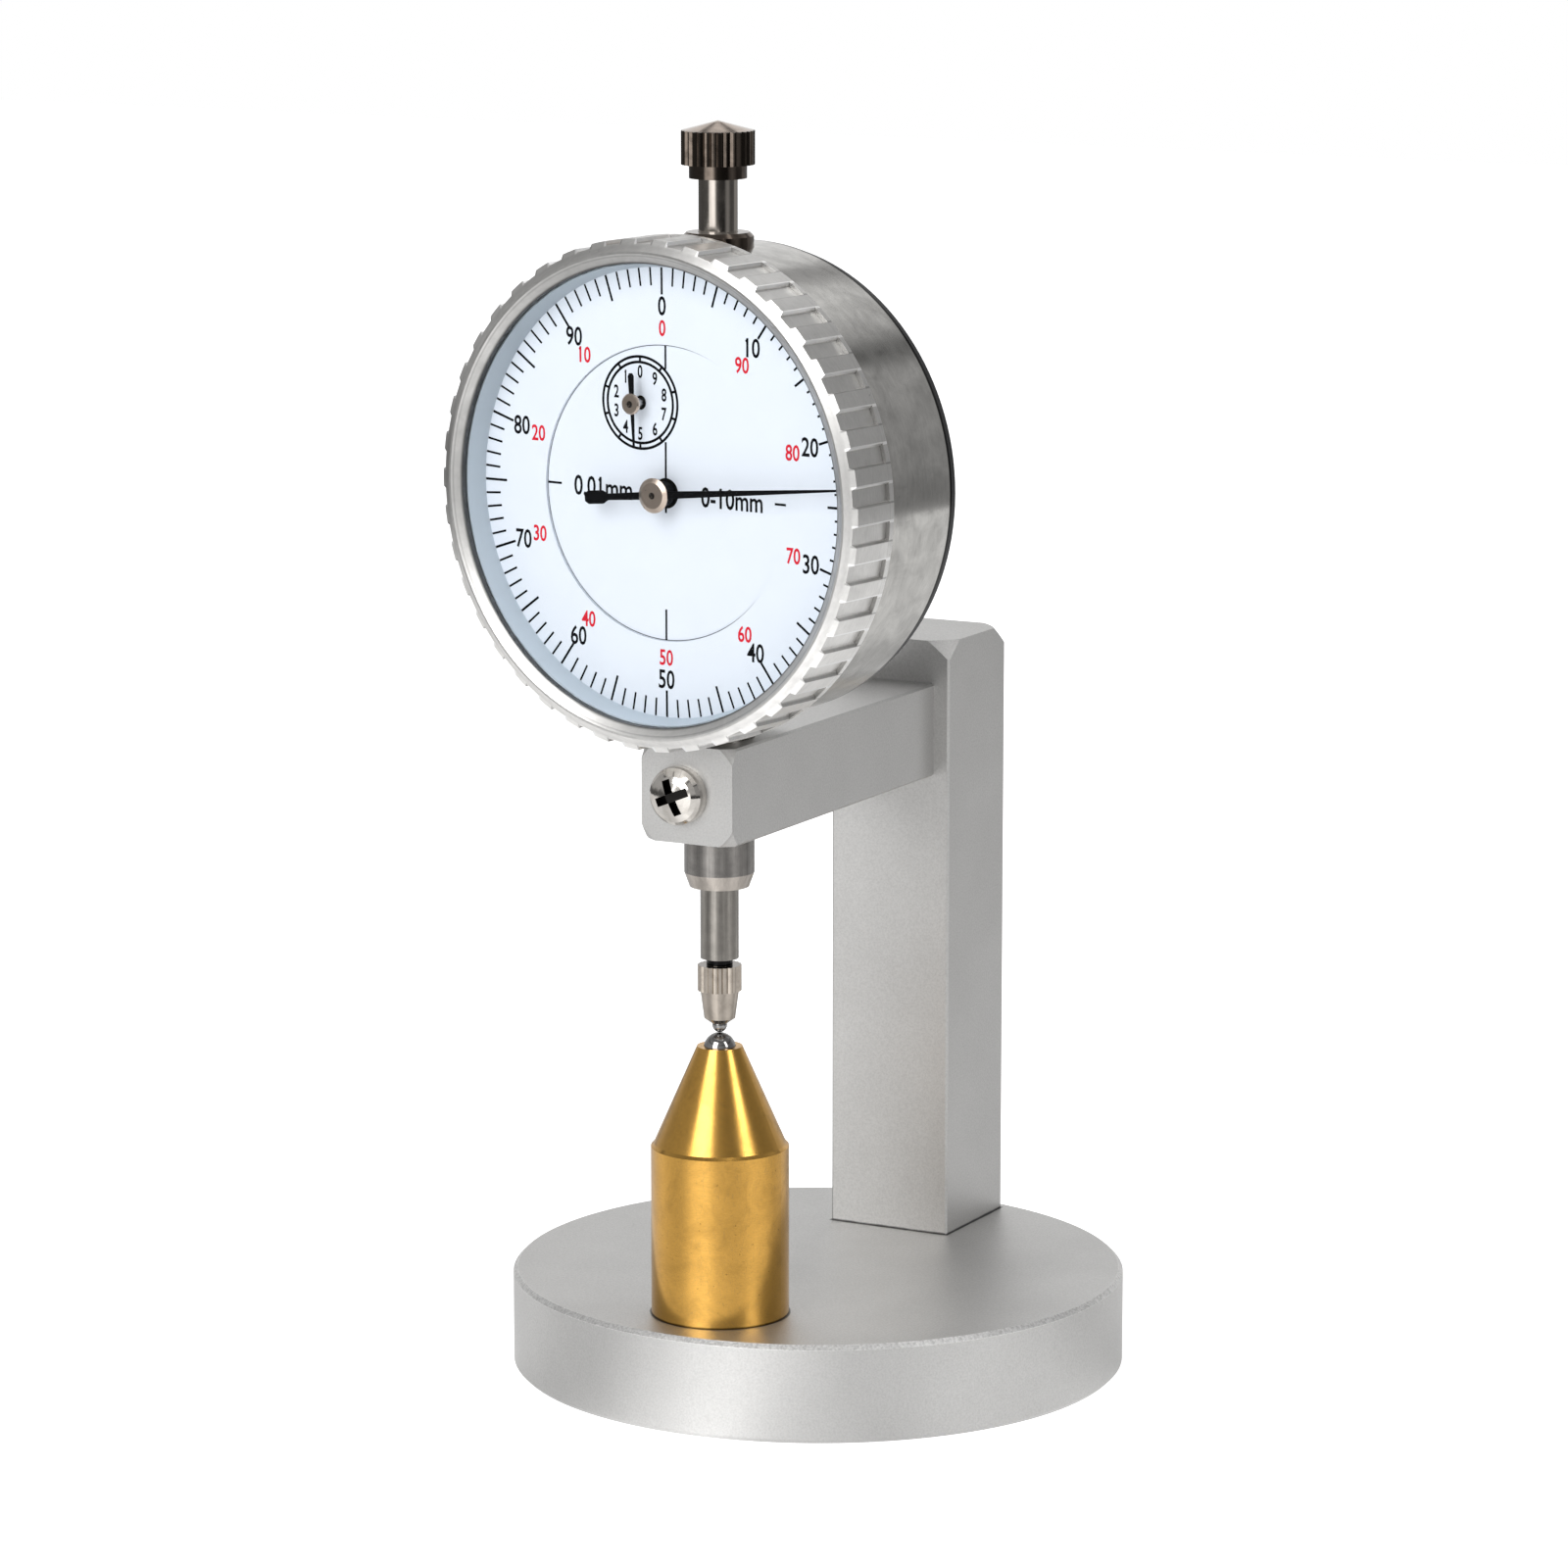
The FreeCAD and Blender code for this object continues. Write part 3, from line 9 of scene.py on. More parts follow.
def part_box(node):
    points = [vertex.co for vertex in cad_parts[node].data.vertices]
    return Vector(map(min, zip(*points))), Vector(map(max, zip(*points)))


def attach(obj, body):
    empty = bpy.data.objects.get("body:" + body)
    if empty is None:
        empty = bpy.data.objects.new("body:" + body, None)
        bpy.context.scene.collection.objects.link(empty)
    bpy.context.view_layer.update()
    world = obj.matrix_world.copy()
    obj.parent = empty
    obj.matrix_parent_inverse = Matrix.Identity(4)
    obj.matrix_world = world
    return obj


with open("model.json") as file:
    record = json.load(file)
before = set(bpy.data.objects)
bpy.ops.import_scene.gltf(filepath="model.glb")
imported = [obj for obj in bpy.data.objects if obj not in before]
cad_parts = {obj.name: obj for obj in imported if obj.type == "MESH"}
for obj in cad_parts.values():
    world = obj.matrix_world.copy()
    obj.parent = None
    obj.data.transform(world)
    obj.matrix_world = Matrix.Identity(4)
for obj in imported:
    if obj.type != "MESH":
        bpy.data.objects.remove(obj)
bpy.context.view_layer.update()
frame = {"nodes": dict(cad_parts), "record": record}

# Lens thickness gauge: a dial indicator over a ball-tipped anvil on a square stand.
# Places of whole pieces are in metres in the solids' frame. The print and the painted marks are
# given in millimetres. The dial's own frame has x to the right and z up as its reader sees it,
# and its depth grows towards the reader.

MM = 0.001

# The indicator's place: its turn on the stem, its axis and its dial.
GAUGE_TURN = math.radians(-7.5)
GAUGE_AXIS = sum(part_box("stem"), Vector()) / 2
DIAL_HEIGHT = (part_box("crystal")[0].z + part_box("crystal")[1].z) / 2
TO_WORLD = (
    Matrix.Translation((GAUGE_AXIS.x, GAUGE_AXIS.y, DIAL_HEIGHT)) @ Matrix.Rotation(GAUGE_TURN, 4, "Z")
)
COUNTER_PLACE = (-3.4985, 9.846)

# The same in millimetres, along axes that are turned with the indicator:
TURNED_AXIS = Matrix.Rotation(-GAUGE_TURN, 3, "Z") @ (GAUGE_AXIS / MM)
HAND_CENTRES = [(TURNED_AXIS.x + x, 0, DIAL_HEIGHT / MM + z) for x, z in ((0, 0), COUNTER_PLACE)]

# The camera, fitted to the photograph. Distances in millimetres.
CAMERA_AZIMUTH = 27.98
CAMERA_ELEVATION = 10.65
CAMERA_TARGET = (-4.575, 0, 68.65)
CAMERA_DISTANCE = 712.6
CAMERA_LENS = 140
CAMERA_SENSOR = 36
CAMERA_RANGE = (0.05, 30)

# Area lights in metres: name, azimuth, elevation, width, height and power.
LIGHTS = (
    ("key_light", -8, 29, 0.85, 1.2, 14),
    ("right_light", 82, 32, 0.4, 1.0, 6),
    ("top_light", 200, 68, 1.2, 1.2, 5),
)
LIGHT_DISTANCE = 1.5
LIGHT_AIM = 0.07

# The room that the metal mirrors. Its heights are those of the view's direction, from -1 to 1.
ROOM_ABOVE = 0.3
CEILING_FADE = (0.6, 0.8)
RIM_FADE = (-0.08, 0.04)
GAP_START = (0.46, 0.50)
GAP_END = (0.52, 0.56)
GAP_DARKNESS = 0.85

# The table top that the metal mirrors, in metres. It is shifted towards an azimuth.
TABLE_RADIUS = 0.485
TABLE_SHIFT = 0.07
TABLE_AZIMUTH = 150
TABLE_DROP = 0.05 * MM
FLOOR_DROP = 0.02 * MM
FLOOR_SIZE = 1.6
FLOOR_GLOW = 0.85

# How bright the table, the room's rim and its wall are, by azimuth. No level passes PROFILE_TOP.
PROFILE_TOP = 2.5
TABLE_LEVELS = (
    (-180, 0.5), (-130, 0.52), (-66, 0.88), (-42, 0.66), (-27, 0.72), (-14, 1.05), (7, 1.4),
    (18, 1.0), (40, 0.78), (58, 0.87), (88, 0.98), (100, 0.85), (115, 0.62), (150, 0.8),
    (168, 0.42), (180, 0.5),
)
RIM_LEVELS = (
    (-180, 0.3), (-110, 0.1), (-55, 0.1), (-30, 0.12), (-21, 1.9), (6, 2.4), (17, 0.3),
    (26, 0.06), (45, 0.02), (66, 0.02), (76, 0.2), (88, 0.3), (98, 0.2), (108, 0.08),
    (130, 0.15), (150, 0.38), (180, 0.35),
)
WALL_LEVELS = (
    (-180, 0.8), (-150, 0.88), (-125, 0.7), (-90, 0.4), (-50, 0.45), (-20, 0.6), (20, 0.52),
    (60, 0.32), (100, 0.25), (135, 0.3), (155, 0.5), (170, 0.7), (180, 0.85),
)

# The bezel: its teeth, the radii of its grooves' floor and its teeth's tips, the depth at which
# the grooves end and the painted shade at their ends. Then the painted light and shade of its
# turned rings by radius, and of all of it by height.
BEZEL_TEETH = 42
BEZEL_ROOT = 27.95
BEZEL_TIP = 28.45
GROOVE_END = 7.5
GROOVE_END_SHADE = (0.37, 0.365, 0.355)
BEZEL_RING_SHADING = (
    (25.75, 0.12), (25.85, 0.3), (25.97, 0.82), (26.5, 0.88), (26.6, 0.64), (26.7, 0.9),
    (27.2, 1.0), (27.7, 0.92), (28.0, 1.08),
)
# Over one tooth and groove, from the middle of a tooth: a painted highlight on one edge and painted shade on
# the other.
TOOTH_FLANK_LIGHT_AND_SHADE = (
    (0.19, 1.0), (0.215, 1.7), (0.265, 1.7), (0.285, 1.0),
    (0.72, 1.0), (0.738, 0.6), (0.77, 0.65), (0.79, 1.0),
)
BEZEL_HEIGHTS = (80, 112)
BEZEL_HEIGHT_SHADING = ((0, 1.0), (0.4, 0.92), (1.0, 0.65))
# Ramps by radius run from 0 to this radius:
RADIUS_SPAN = 30

# Other marks that are painted by place, in millimetres, painted light and shade among them.
# The rear line starts this far behind the indicator's axis. Zones that part at a height fade over
# the soft edge.
REAR_LINE = 6.65
# The dial's wall is painted darker between these heights, a painted shade under the bezel.
WALL_HEIGHTS = (82, 132)
WALL_PAINTED_SHADE = ((0, 1.0), (0.5, 0.76), (0.85, 0.56))
# The base's bevel is this wide; it is painted lighter, as rubbed wear and as a painted highlight.
BASE_BEVEL = 0.5
# The arm's front is painted darker by this factor, a painted shade.
ARM_FRONT_SHADE = 0.88
# How far below the knob's top its cone gets a painted highlight.
KNOB_CONE = 1.1
CONTACT_TOP = 60
HUB_BOTTOM = 95
CONTACT_NECK = 4.3
STEM_PLATING = 63.0
SPINDLE_PLATING = 100.0
# The clamp screw's cross recess, painted dark as a painted shade: its radius and depth.
RECESS_RADIUS = 3.35
RECESS_DEPTH = 1.5
ARBOR_HOLE = 2.5
# The hubs' centre holes are painted dark out to these radii, a painted shade.
HUB_HOLE_SHADE = (0.32, 0.42)
SOFT_EDGE = 0.1

# The print, in millimetres unless its name says otherwise. The faces are depths in metres.
RING_FACE = 10.2 * MM
CENTRE_FACE = 9.9 * MM
INK_THICK = 0.012 * MM
INK_SPREAD = 0.045 * MM
SCALE_DEGREES = 0.65
TICK_END = 25.05
LONG_TICK = (22.05, 0.14)
SHORT_TICK = (23.03, 0.12)
BLACK_NUMBERS = (20.8, 2.15)
RED_NUMBERS = (18.35, 1.8)
# A dark ring at the centre disc's edge, between these radii: a painted shadow of the step to the ring.
DISC_EDGE_SHADOW = (16.39, 16.46)
CROSS_LINES = (
    (-0.13, 13.8, 0.13, 16.4), (-0.13, -2.2, 0.13, 5.7), (-0.13, -16.4, 0.13, -13.0),
    (-16.4, -0.13, -14.5, 0.13), (14.8, -0.13, 16.4, 0.13),
)
UNITS = (("0.01mm", -8.7), ("0-10mm", 9.0))
UNIT_HEIGHT = 2.3
UNIT_WIDTH_SHARE = 0.8
COUNTER_RINGS = (5.12, 4.5)
COUNTER_RING_HALF = 0.15
COUNTER_TICK = (-0.14, 4.5, 0.14, 5.1)
COUNTER_NUMBERS = (3.45, 1.45)
COUNTER_WIDTH_SHARE = 0.7
NUMBER_WIDTH_SHARE = 0.78
# The lettering's digits are this share of its size, and so are the measures of the flag that
# the digit 1 gets: how far it reaches and drops, where it starts and how thick it is.
DIGIT_SHARE = 0.729
FLAG_REACH = 0.17
FLAG_DROP = 0.135
FLAG_START = 0.02
FLAG_THICK = 0.075


# Camera and light

def direction(azimuth, elevation):
    """The way out from the object: azimuth 0 is -Y and 90 is +X."""
    a = math.radians(azimuth)
    e = math.radians(elevation)
    return Vector((math.sin(a) * math.cos(e), -math.cos(a) * math.cos(e), math.sin(e)))


def make_camera():
    lens = bpy.data.cameras.new("photo_camera")
    lens.lens = CAMERA_LENS
    lens.sensor_width = CAMERA_SENSOR
    lens.clip_start, lens.clip_end = CAMERA_RANGE
    camera = bpy.data.objects.new("photo_camera", lens)
    back = direction(CAMERA_AZIMUTH, CAMERA_ELEVATION)
    camera.location = Vector(CAMERA_TARGET) * MM + back * CAMERA_DISTANCE * MM
    camera.rotation_euler = (-back).to_track_quat("-Z", "Y").to_euler()
    bpy.context.scene.collection.objects.link(camera)
    bpy.context.scene.camera = camera
    bpy.context.scene.view_settings.view_transform = "Standard"


def make_lights():
    for name, azimuth, elevation, width, height, power in LIGHTS:
        light = bpy.data.lights.new(name, "AREA")
        light.shape = "RECTANGLE"
        light.size = width
        light.size_y = height
        light.energy = power
        lamp = bpy.data.objects.new(name, light)
        out = direction(azimuth, elevation)
        lamp.location = Vector((0, 0, LIGHT_AIM)) + out * LIGHT_DISTANCE
        lamp.rotation_euler = out.to_track_quat("Z", "Y").to_euler()
        bpy.context.scene.collection.objects.link(lamp)


# Node trees

class Steps:
    """The steps that build a node tree. Each returns the socket with its result."""

    def __init__(self, tree):
        self.tree = tree

    def node(self, kind, **settings):
        made = self.tree.nodes.new(kind)
        for name, setting in settings.items():
            setattr(made, name, setting)
        return made

    def feed(self, target, given):
        """Give an input a socket, a number or a colour."""
        if isinstance(given, bpy.types.NodeSocket):
            self.tree.links.new(given, target)
        elif isinstance(given, (int, float)):
            target.default_value = given
        else:
            target.default_value = (*given, 1)

    def arithmetic(self, operation, *given):
        made = self.node("ShaderNodeMath", operation=operation)
        for target, value in zip(made.inputs, given):
            self.feed(target, value)
        return made.outputs[0]

    def split(self, vector):
        """The x, y and z of a vector."""
        made = self.node("ShaderNodeSeparateXYZ")
        self.feed(made.inputs[0], vector)
        return made.outputs

    def share(self, value, low, high, lowest=0.0, interpolation="LINEAR"):
        """A share that grows to 1 while a value goes from low to high."""
        made = self.node("ShaderNodeMapRange", interpolation_type=interpolation)
        made.inputs["From Min"].default_value = low
        made.inputs["From Max"].default_value = high
        made.inputs["To Min"].default_value = lowest
        self.feed(made.inputs["Value"], value)
        return made.outputs[0]

    def ramp(self, factor, stops):
        made = self.node("ShaderNodeValToRGB")
        elements = made.color_ramp.elements
        while len(elements) < len(stops):
            elements.new(0.5)
        for element, (position, colour) in zip(elements, stops):
            element.position = position
            element.color = (*colour, 1)
        self.feed(made.inputs["Fac"], factor)
        return made.outputs["Color"]

    def grey_ramp(self, factor, stops):
        return self.ramp(factor, [(position, (v, v, v)) for position, v in stops])

    def by_azimuth(self, way, levels):
        """A level that follows a table of azimuths in degrees, for a direction."""
        x, y, _ = self.split(way)
        angle = self.arithmetic("ARCTAN2", x, self.arithmetic("MULTIPLY", y, -1.0))
        level = self.grey_ramp(self.share(angle, -math.pi, math.pi), [
            ((azimuth + 180) / 360, level / PROFILE_TOP) for azimuth, level in levels])
        return self.arithmetic("MULTIPLY", level, PROFILE_TOP)


def make_world():
    """A room whose rim and wall differ by azimuth, and which is white where it is seen directly."""
    world = bpy.data.worlds.new("studio")
    bpy.context.scene.world = world
    world.use_nodes = True
    world.node_tree.nodes.clear()
    made = Steps(world.node_tree)
    way = made.node("ShaderNodeTexCoord").outputs["Generated"]
    height = made.split(way)["Z"]

    def fade(low, high):
        return made.share(height, low, high, interpolation="SMOOTHSTEP")

    def between(share, first, second):
        """The first level where the share is 0, the second where it is 1."""
        return made.arithmetic("MULTIPLY_ADD", made.arithmetic("SUBTRACT", second, first), share, first)

    gap = made.arithmetic("MULTIPLY", fade(*GAP_START), made.arithmetic("SUBTRACT", 1.0, fade(*GAP_END)))
    wall = made.arithmetic(
        "MULTIPLY", made.by_azimuth(way, WALL_LEVELS),
        made.arithmetic("MULTIPLY_ADD", gap, -GAP_DARKNESS, 1.0))
    below = between(fade(*RIM_FADE), made.by_azimuth(way, RIM_LEVELS), wall)
    room = made.node("ShaderNodeBackground")
    white = made.node("ShaderNodeBackground")
    for background in (room, white):
        background.inputs["Color"].default_value = (1, 1, 1, 1)
    made.feed(room.inputs["Strength"], between(fade(*CEILING_FADE), below, ROOM_ABOVE))
    mix = made.node("ShaderNodeMixShader")
    made.feed(mix.inputs["Fac"], made.node("ShaderNodeLightPath").outputs["Is Camera Ray"])
    made.feed(mix.inputs[1], room.outputs[0])
    made.feed(mix.inputs[2], white.outputs[0])
    made.feed(made.node("ShaderNodeOutputWorld").inputs["Surface"], mix.outputs[0])


class Finish(Steps):
    """One procedural material. Its places are object coordinates in millimetres."""

    def __init__(self, name, metallic=0.0, **constants):
        self.material = bpy.data.materials.new(name)
        self.material.use_nodes = True
        super().__init__(self.material.node_tree)
        self.shader = self.tree.nodes["Principled BSDF"]
        self.shader.inputs["Metallic"].default_value = metallic
        for socket, amount in constants.items():
            self.shader.inputs[socket.replace("_", " ")].default_value = amount

    def place(self, stretch=(1, 1, 1), turn=0.0, tilt=0.0):
        """The place on the object, turned and stretched."""
        mapping = self.node("ShaderNodeMapping", vector_type="POINT")
        mapping.inputs["Rotation"].default_value = (tilt, 0, -turn)
        mapping.inputs["Scale"].default_value = [1000.0 * s for s in stretch]
        self.feed(mapping.inputs["Vector"], self.node("ShaderNodeTexCoord").outputs["Object"])
        return mapping.outputs["Vector"]

    def noise(self, place, scale, detail=3.0, rough=0.55, distortion=0.0):
        made = self.node("ShaderNodeTexNoise")
        made.inputs["Scale"].default_value = scale
        made.inputs["Detail"].default_value = detail
        made.inputs["Roughness"].default_value = rough
        made.inputs["Distortion"].default_value = distortion
        self.feed(made.inputs["Vector"], place)
        return made.outputs["Fac"]

    def mix(self, factor, first, second, blend="MIX"):
        made = self.node("ShaderNodeMix", data_type="RGBA", blend_type=blend)
        for target, given in ((made.inputs[0], factor), (made.inputs[6], first), (made.inputs[7], second)):
            self.feed(target, given)
        return made.outputs[2]

    def times(self, first, second):
        return self.mix(1.0, first, second, "MULTIPLY")

    def toned(self, factor, colour, *stops):
        """A ramp of one colour, made darker or lighter by a factor at each stop."""
        return self.ramp(factor, [(position, tone(colour, amount)) for position, amount in stops])

    def reach(self, place, centre, squash=(1, 1, 1)):
        """The distance from a point. Each direction is divided by its squash, or left out where that is 0."""
        away = self.node("ShaderNodeVectorMath", operation="SUBTRACT")
        away.inputs[1].default_value = centre
        self.feed(away.inputs[0], place)
        scaled = self.node("ShaderNodeVectorMath", operation="MULTIPLY")
        scaled.inputs[1].default_value = [1 / s if s else 0 for s in squash]
        self.feed(scaled.inputs[0], away.outputs[0])
        length = self.node("ShaderNodeVectorMath", operation="LENGTH")
        self.feed(length.inputs[0], scaled.outputs[0])
        return length.outputs["Value"]

    def dial_radius(self):
        """The distance from the dial's axis, as a share of RADIUS_SPAN."""
        return self.reach(self.place(turn=GAUGE_TURN), HAND_CENTRES[0], (RADIUS_SPAN, 0, RADIUS_SPAN))

    def height(self, place, low, high):
        """A share that grows from 0 to 1 between two heights."""
        return self.share(self.split(place)["Z"], low, high)

    def above(self, place, low, high):
        """1 above two heights, 0 below them."""
        return self.grey_ramp(self.height(place, low, high), [(0.4, 0), (0.6, 1)])

    def below(self, place, low, high):
        """1 below two heights, 0 above them."""
        return self.grey_ramp(self.height(place, low, high), [(0.4, 1), (0.6, 0)])

    def bump(self, height, strength, distance=0.01):
        made = self.node("ShaderNodeBump")
        made.inputs["Strength"].default_value = strength
        made.inputs["Distance"].default_value = distance * MM
        self.feed(made.inputs["Height"], height)
        self.feed(self.shader.inputs["Normal"], made.outputs["Normal"])

    def colour(self, source):
        self.feed(self.shader.inputs["Base Color"], source)

    def roughness(self, source):
        self.feed(self.shader.inputs["Roughness"], source)


def tone(colour, factor):
    return tuple(c * factor for c in colour)


# Marks painted by place, painted light and shade among them

def seam_line(made, place, shade):
    """A dark line of grime where the post and the anvil stand on the base."""
    x, y, z = made.split(place)
    step = made.arithmetic

    def beside(source, middle, half):
        """How far outside a strip a place lies, negative within it."""
        return step("SUBTRACT", step("ABSOLUTE", step("SUBTRACT", source, middle)), half)

    low, high = (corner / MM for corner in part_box("post"))
    middle, half = (low + high) / 2, (high - low) / 2
    post = step("MAXIMUM", beside(x, middle.x, half.x), beside(y, middle.y, half.y))
    low, high = (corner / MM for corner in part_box("anvil_post"))
    centre = (low + high) / 2
    across = step("POWER", step("SUBTRACT", x, centre.x), 2.0)
    along = step("POWER", step("SUBTRACT", y, centre.y), 2.0)
    anvil = beside(step("SQRT", step("ADD", across, along)), 0.0, (high.x - low.x) / 2)
    near = step("ABSOLUTE", step("MINIMUM", post, anvil))
    level = step("ABSOLUTE", step("SUBTRACT", z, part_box("base_disc")[1].z / MM))
    grime = step("MULTIPLY", made.noise(place, 0.5), 0.2)
    away = step("SUBTRACT", step("ADD", near, level), grime)
    return made.times(shade, made.grey_ramp(away, [(0.02, 0.25), (0.16, 1.0)]))


def nose_shade(made, place, shade):
    """Painted shade: the front of the arm is a little darker than the rest."""
    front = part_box("arm")[0] / MM
    nose = made.share(made.split(place)["Y"], front.y + 0.1, front.y + 0.3, ARM_FRONT_SHADE)
    return made.mix(made.above(place, front.z - 1, front.z), shade, made.times(shade, nose))


def rubbed_bevel(made, place, shade):
    """The small bevel round the base's upper edge is rubbed, and painted lighter with a sparkle as a painted
    highlight.
    """
    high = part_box("base_disc")[1] / MM
    reached = made.arithmetic("ADD", made.reach(place, (0, 0, 0), (1, 1, 0)), made.split(place)["Z"])
    corner = high.x + high.z - BASE_BEVEL
    edge = made.times(
        made.share(reached, corner - 0.12, corner - 0.02), made.below(place, high.z + 0.01, high.z + 0.05))
    # Rubbed wear and a painted highlight along the bevel.
    wear_and_glint = made.ramp(made.noise(place, 3.0, 3.0, 0.6), [
        (0.35, (0.60, 0.595, 0.585)), (0.65, (0.88, 0.875, 0.865))])
    return made.mix(edge, shade, wear_and_glint)


def tooth_edges(made, shade):
    """A painted highlight on one flank of each tooth, painted shade on the other, and painted shade at the
    grooves' ends.
    """
    x, y, z = made.split(made.place(turn=GAUGE_TURN))
    middle = HAND_CENTRES[0]
    angle = made.arithmetic(
        "ARCTAN2", made.arithmetic("SUBTRACT", x, middle[0]), made.arithmetic("SUBTRACT", z, middle[2]))
    pitch = made.arithmetic("MULTIPLY_ADD", angle, BEZEL_TEETH / math.tau, BEZEL_TEETH + 0.5)
    flank_light_and_shade = made.grey_ramp(made.arithmetic("FRACT", pitch), TOOTH_FLANK_LIGHT_AND_SHADE)
    radius = made.dial_radius()

    def rim(start, end, first, last):
        """A level that changes from one radius to another."""
        return made.grey_ramp(radius, [(start / RADIUS_SPAN, first), (end / RADIUS_SPAN, last)])

    teeth = rim(BEZEL_ROOT - 0.1, BEZEL_ROOT - 0.02, 0, 1)
    shade = made.mix(teeth, shade, made.times(shade, flank_light_and_shade))
    # Painted shade at the grooves' ends, which hides their glints.
    near = made.arithmetic("ABSOLUTE", made.arithmetic("ADD", y, GROOVE_END - TURNED_AXIS.y))
    wall = made.times(
        made.grey_ramp(near, [(0.03, 1), (0.08, 0)]), rim(BEZEL_TIP - 0.07, BEZEL_TIP - 0.03, 1, 0))
    floor = made.times(
        made.grey_ramp(near, [(0.2, 0.1), (0.4, 0)]), rim(BEZEL_ROOT + 0.02, BEZEL_ROOT + 0.07, 1, 0))
    return made.mix(made.mix(1.0, wall, floor, "LIGHTEN"), shade, GROOVE_END_SHADE)


def bezel_marks(made, place, shade):
    """Painted light and shade on the bezel: lighter low down, on its teeth's edges and in its turned rings by
    radius.
    """
    shade = made.times(shade, made.grey_ramp(made.height(place, *BEZEL_HEIGHTS), BEZEL_HEIGHT_SHADING))
    shade = tooth_edges(made, shade)
    return made.times(shade, made.grey_ramp(
        made.dial_radius(), [(radius / RADIUS_SPAN, level) for radius, level in BEZEL_RING_SHADING]))


def rear_line(made, place, shade):
    """A dark line at the case's rear edge."""
    behind = made.split(made.place(turn=GAUGE_TURN))["Y"]
    rear = made.share(behind, REAR_LINE - SOFT_EDGE + TURNED_AXIS.y, REAR_LINE + TURNED_AXIS.y)
    return made.mix(rear, shade, (0.02, 0.02, 0.02))


def arbor_holes(made, place, shade):
    """The movement is dark round the hands' arbors, where it shows through the dial's holes."""
    for centre in HAND_CENTRES:
        hole = made.reach(made.place(turn=GAUGE_TURN), centre, (ARBOR_HOLE, 0, ARBOR_HOLE))
        shade = made.times(shade, made.grey_ramp(hole, [(0.9, 0.03), (0.99, 1.0)]))
    return shade


def wall_shades(made, place, shade):
    """Painted shade: the dial's wall is darker higher up, under the bezel."""
    return made.times(shade, made.grey_ramp(made.height(place, *WALL_HEIGHTS), WALL_PAINTED_SHADE))


# Finishes

def blasted_metal(name, colour, rough):
    """Bead-blasted and anodised: a fine speckle, soft clouds and a matt sheen."""
    made = Finish(name, 1.0)
    place = made.place()
    speckle = made.noise(place, 4.5, 2.0)
    fine = made.grey_ramp(speckle, [(0.3, 0.93), (0.52, 1.0), (0.75, 1.06)])
    broad = made.toned(made.noise(place, 0.06), colour, (0.3, 0.95), (0.7, 1.04))
    shade = seam_line(made, place, made.times(broad, fine))
    made.colour(rubbed_bevel(made, place, nose_shade(made, place, shade)))
    made.roughness(made.grey_ramp(speckle, [(0.3, rough + 0.05), (0.7, rough - 0.05)]))
    made.bump(speckle, 0.22, 0.02)
    return made.material


def turned_metal(name, colour, rough, lines, mark, wear, marks=None):
    """Turned: lines round the dial's axis, worn patches, a few dark specks and the marks given."""
    made = Finish(name, 1.0)
    grooves = made.noise(made.place((0.15, 1, 0.15), GAUGE_TURN), lines, 4.0, 0.6)
    place = made.place()
    patches = made.noise(place, 0.35, 4.0, 0.6, 0.4)
    base = made.toned(patches, colour, (0.32, 1 - wear * 0.5), (0.68, 1 + wear * 0.25))
    lined = made.times(base, made.grey_ramp(grooves, [(0.3, 1 - mark), (0.7, 1 + mark)]))
    spots = made.grey_ramp(made.noise(place, 2.6, 2.0), [(0.2, 0.55), (0.27, 1.0)])
    shade = made.times(lined, spots)
    made.colour(marks(made, place, shade) if marks else shade)
    made.roughness(made.grey_ramp(patches, [(0.3, rough + 0.06), (0.7, rough - 0.04)]))
    made.bump(grooves, 0.12)
    return made.material


def drawn_metal(name, colour, rough, plated_from, plated_to, plating):
    """Ground along its length: long streaks, and a plated end that starts between two heights."""
    wear = 0.3
    made = Finish(name, 1.0)
    streaks = made.noise(made.place((1, 1, 0.04), GAUGE_TURN), 1.1, 4.0, 0.6)
    place = made.place()
    worn = made.noise(place, 0.8, 4.0, 0.6)
    base = made.toned(streaks, colour, (0.3, 1 - wear), (0.5, 1), (0.7, 1 + wear))
    shade = made.times(base, made.grey_ramp(worn, [(0.3, 0.88), (0.7, 1.08)]))
    plated = made.toned(streaks, plating, (0.3, 0.8), (0.7, 1.15))
    made.colour(made.mix(made.height(place, plated_from, plated_to), shade, plated))
    made.roughness(made.grey_ramp(worn, [(0.3, rough + 0.04), (0.7, rough - 0.03)]))
    made.bump(streaks, 0.06)
    return made.material


def plated_metal(name, colour, rough, grime=0.3, highlight_above=None):
    """Bright plating with faint smears and grime, and a painted highlight above a height where one is given.
    """
    made = Finish(name, 1.0)
    place = made.place()
    smears = made.noise(place, 0.7, 5.0, 0.6, 0.6)
    shade = made.toned(smears, colour, (0.3, 1 - grime), (0.55, 1), (0.8, 1.08))
    if highlight_above is not None:
        top_highlight = made.toned(smears, colour, (0.3, 2.7), (0.7, 3.4))
        shade = made.mix(made.height(place, highlight_above, highlight_above + SOFT_EDGE), shade, top_highlight)
    made.colour(shade)
    made.roughness(made.grey_ramp(smears, [(0.3, rough + 0.08), (0.65, rough)]))
    made.bump(made.noise(place, 5.0, 2.0), 0.05)
    return made.material


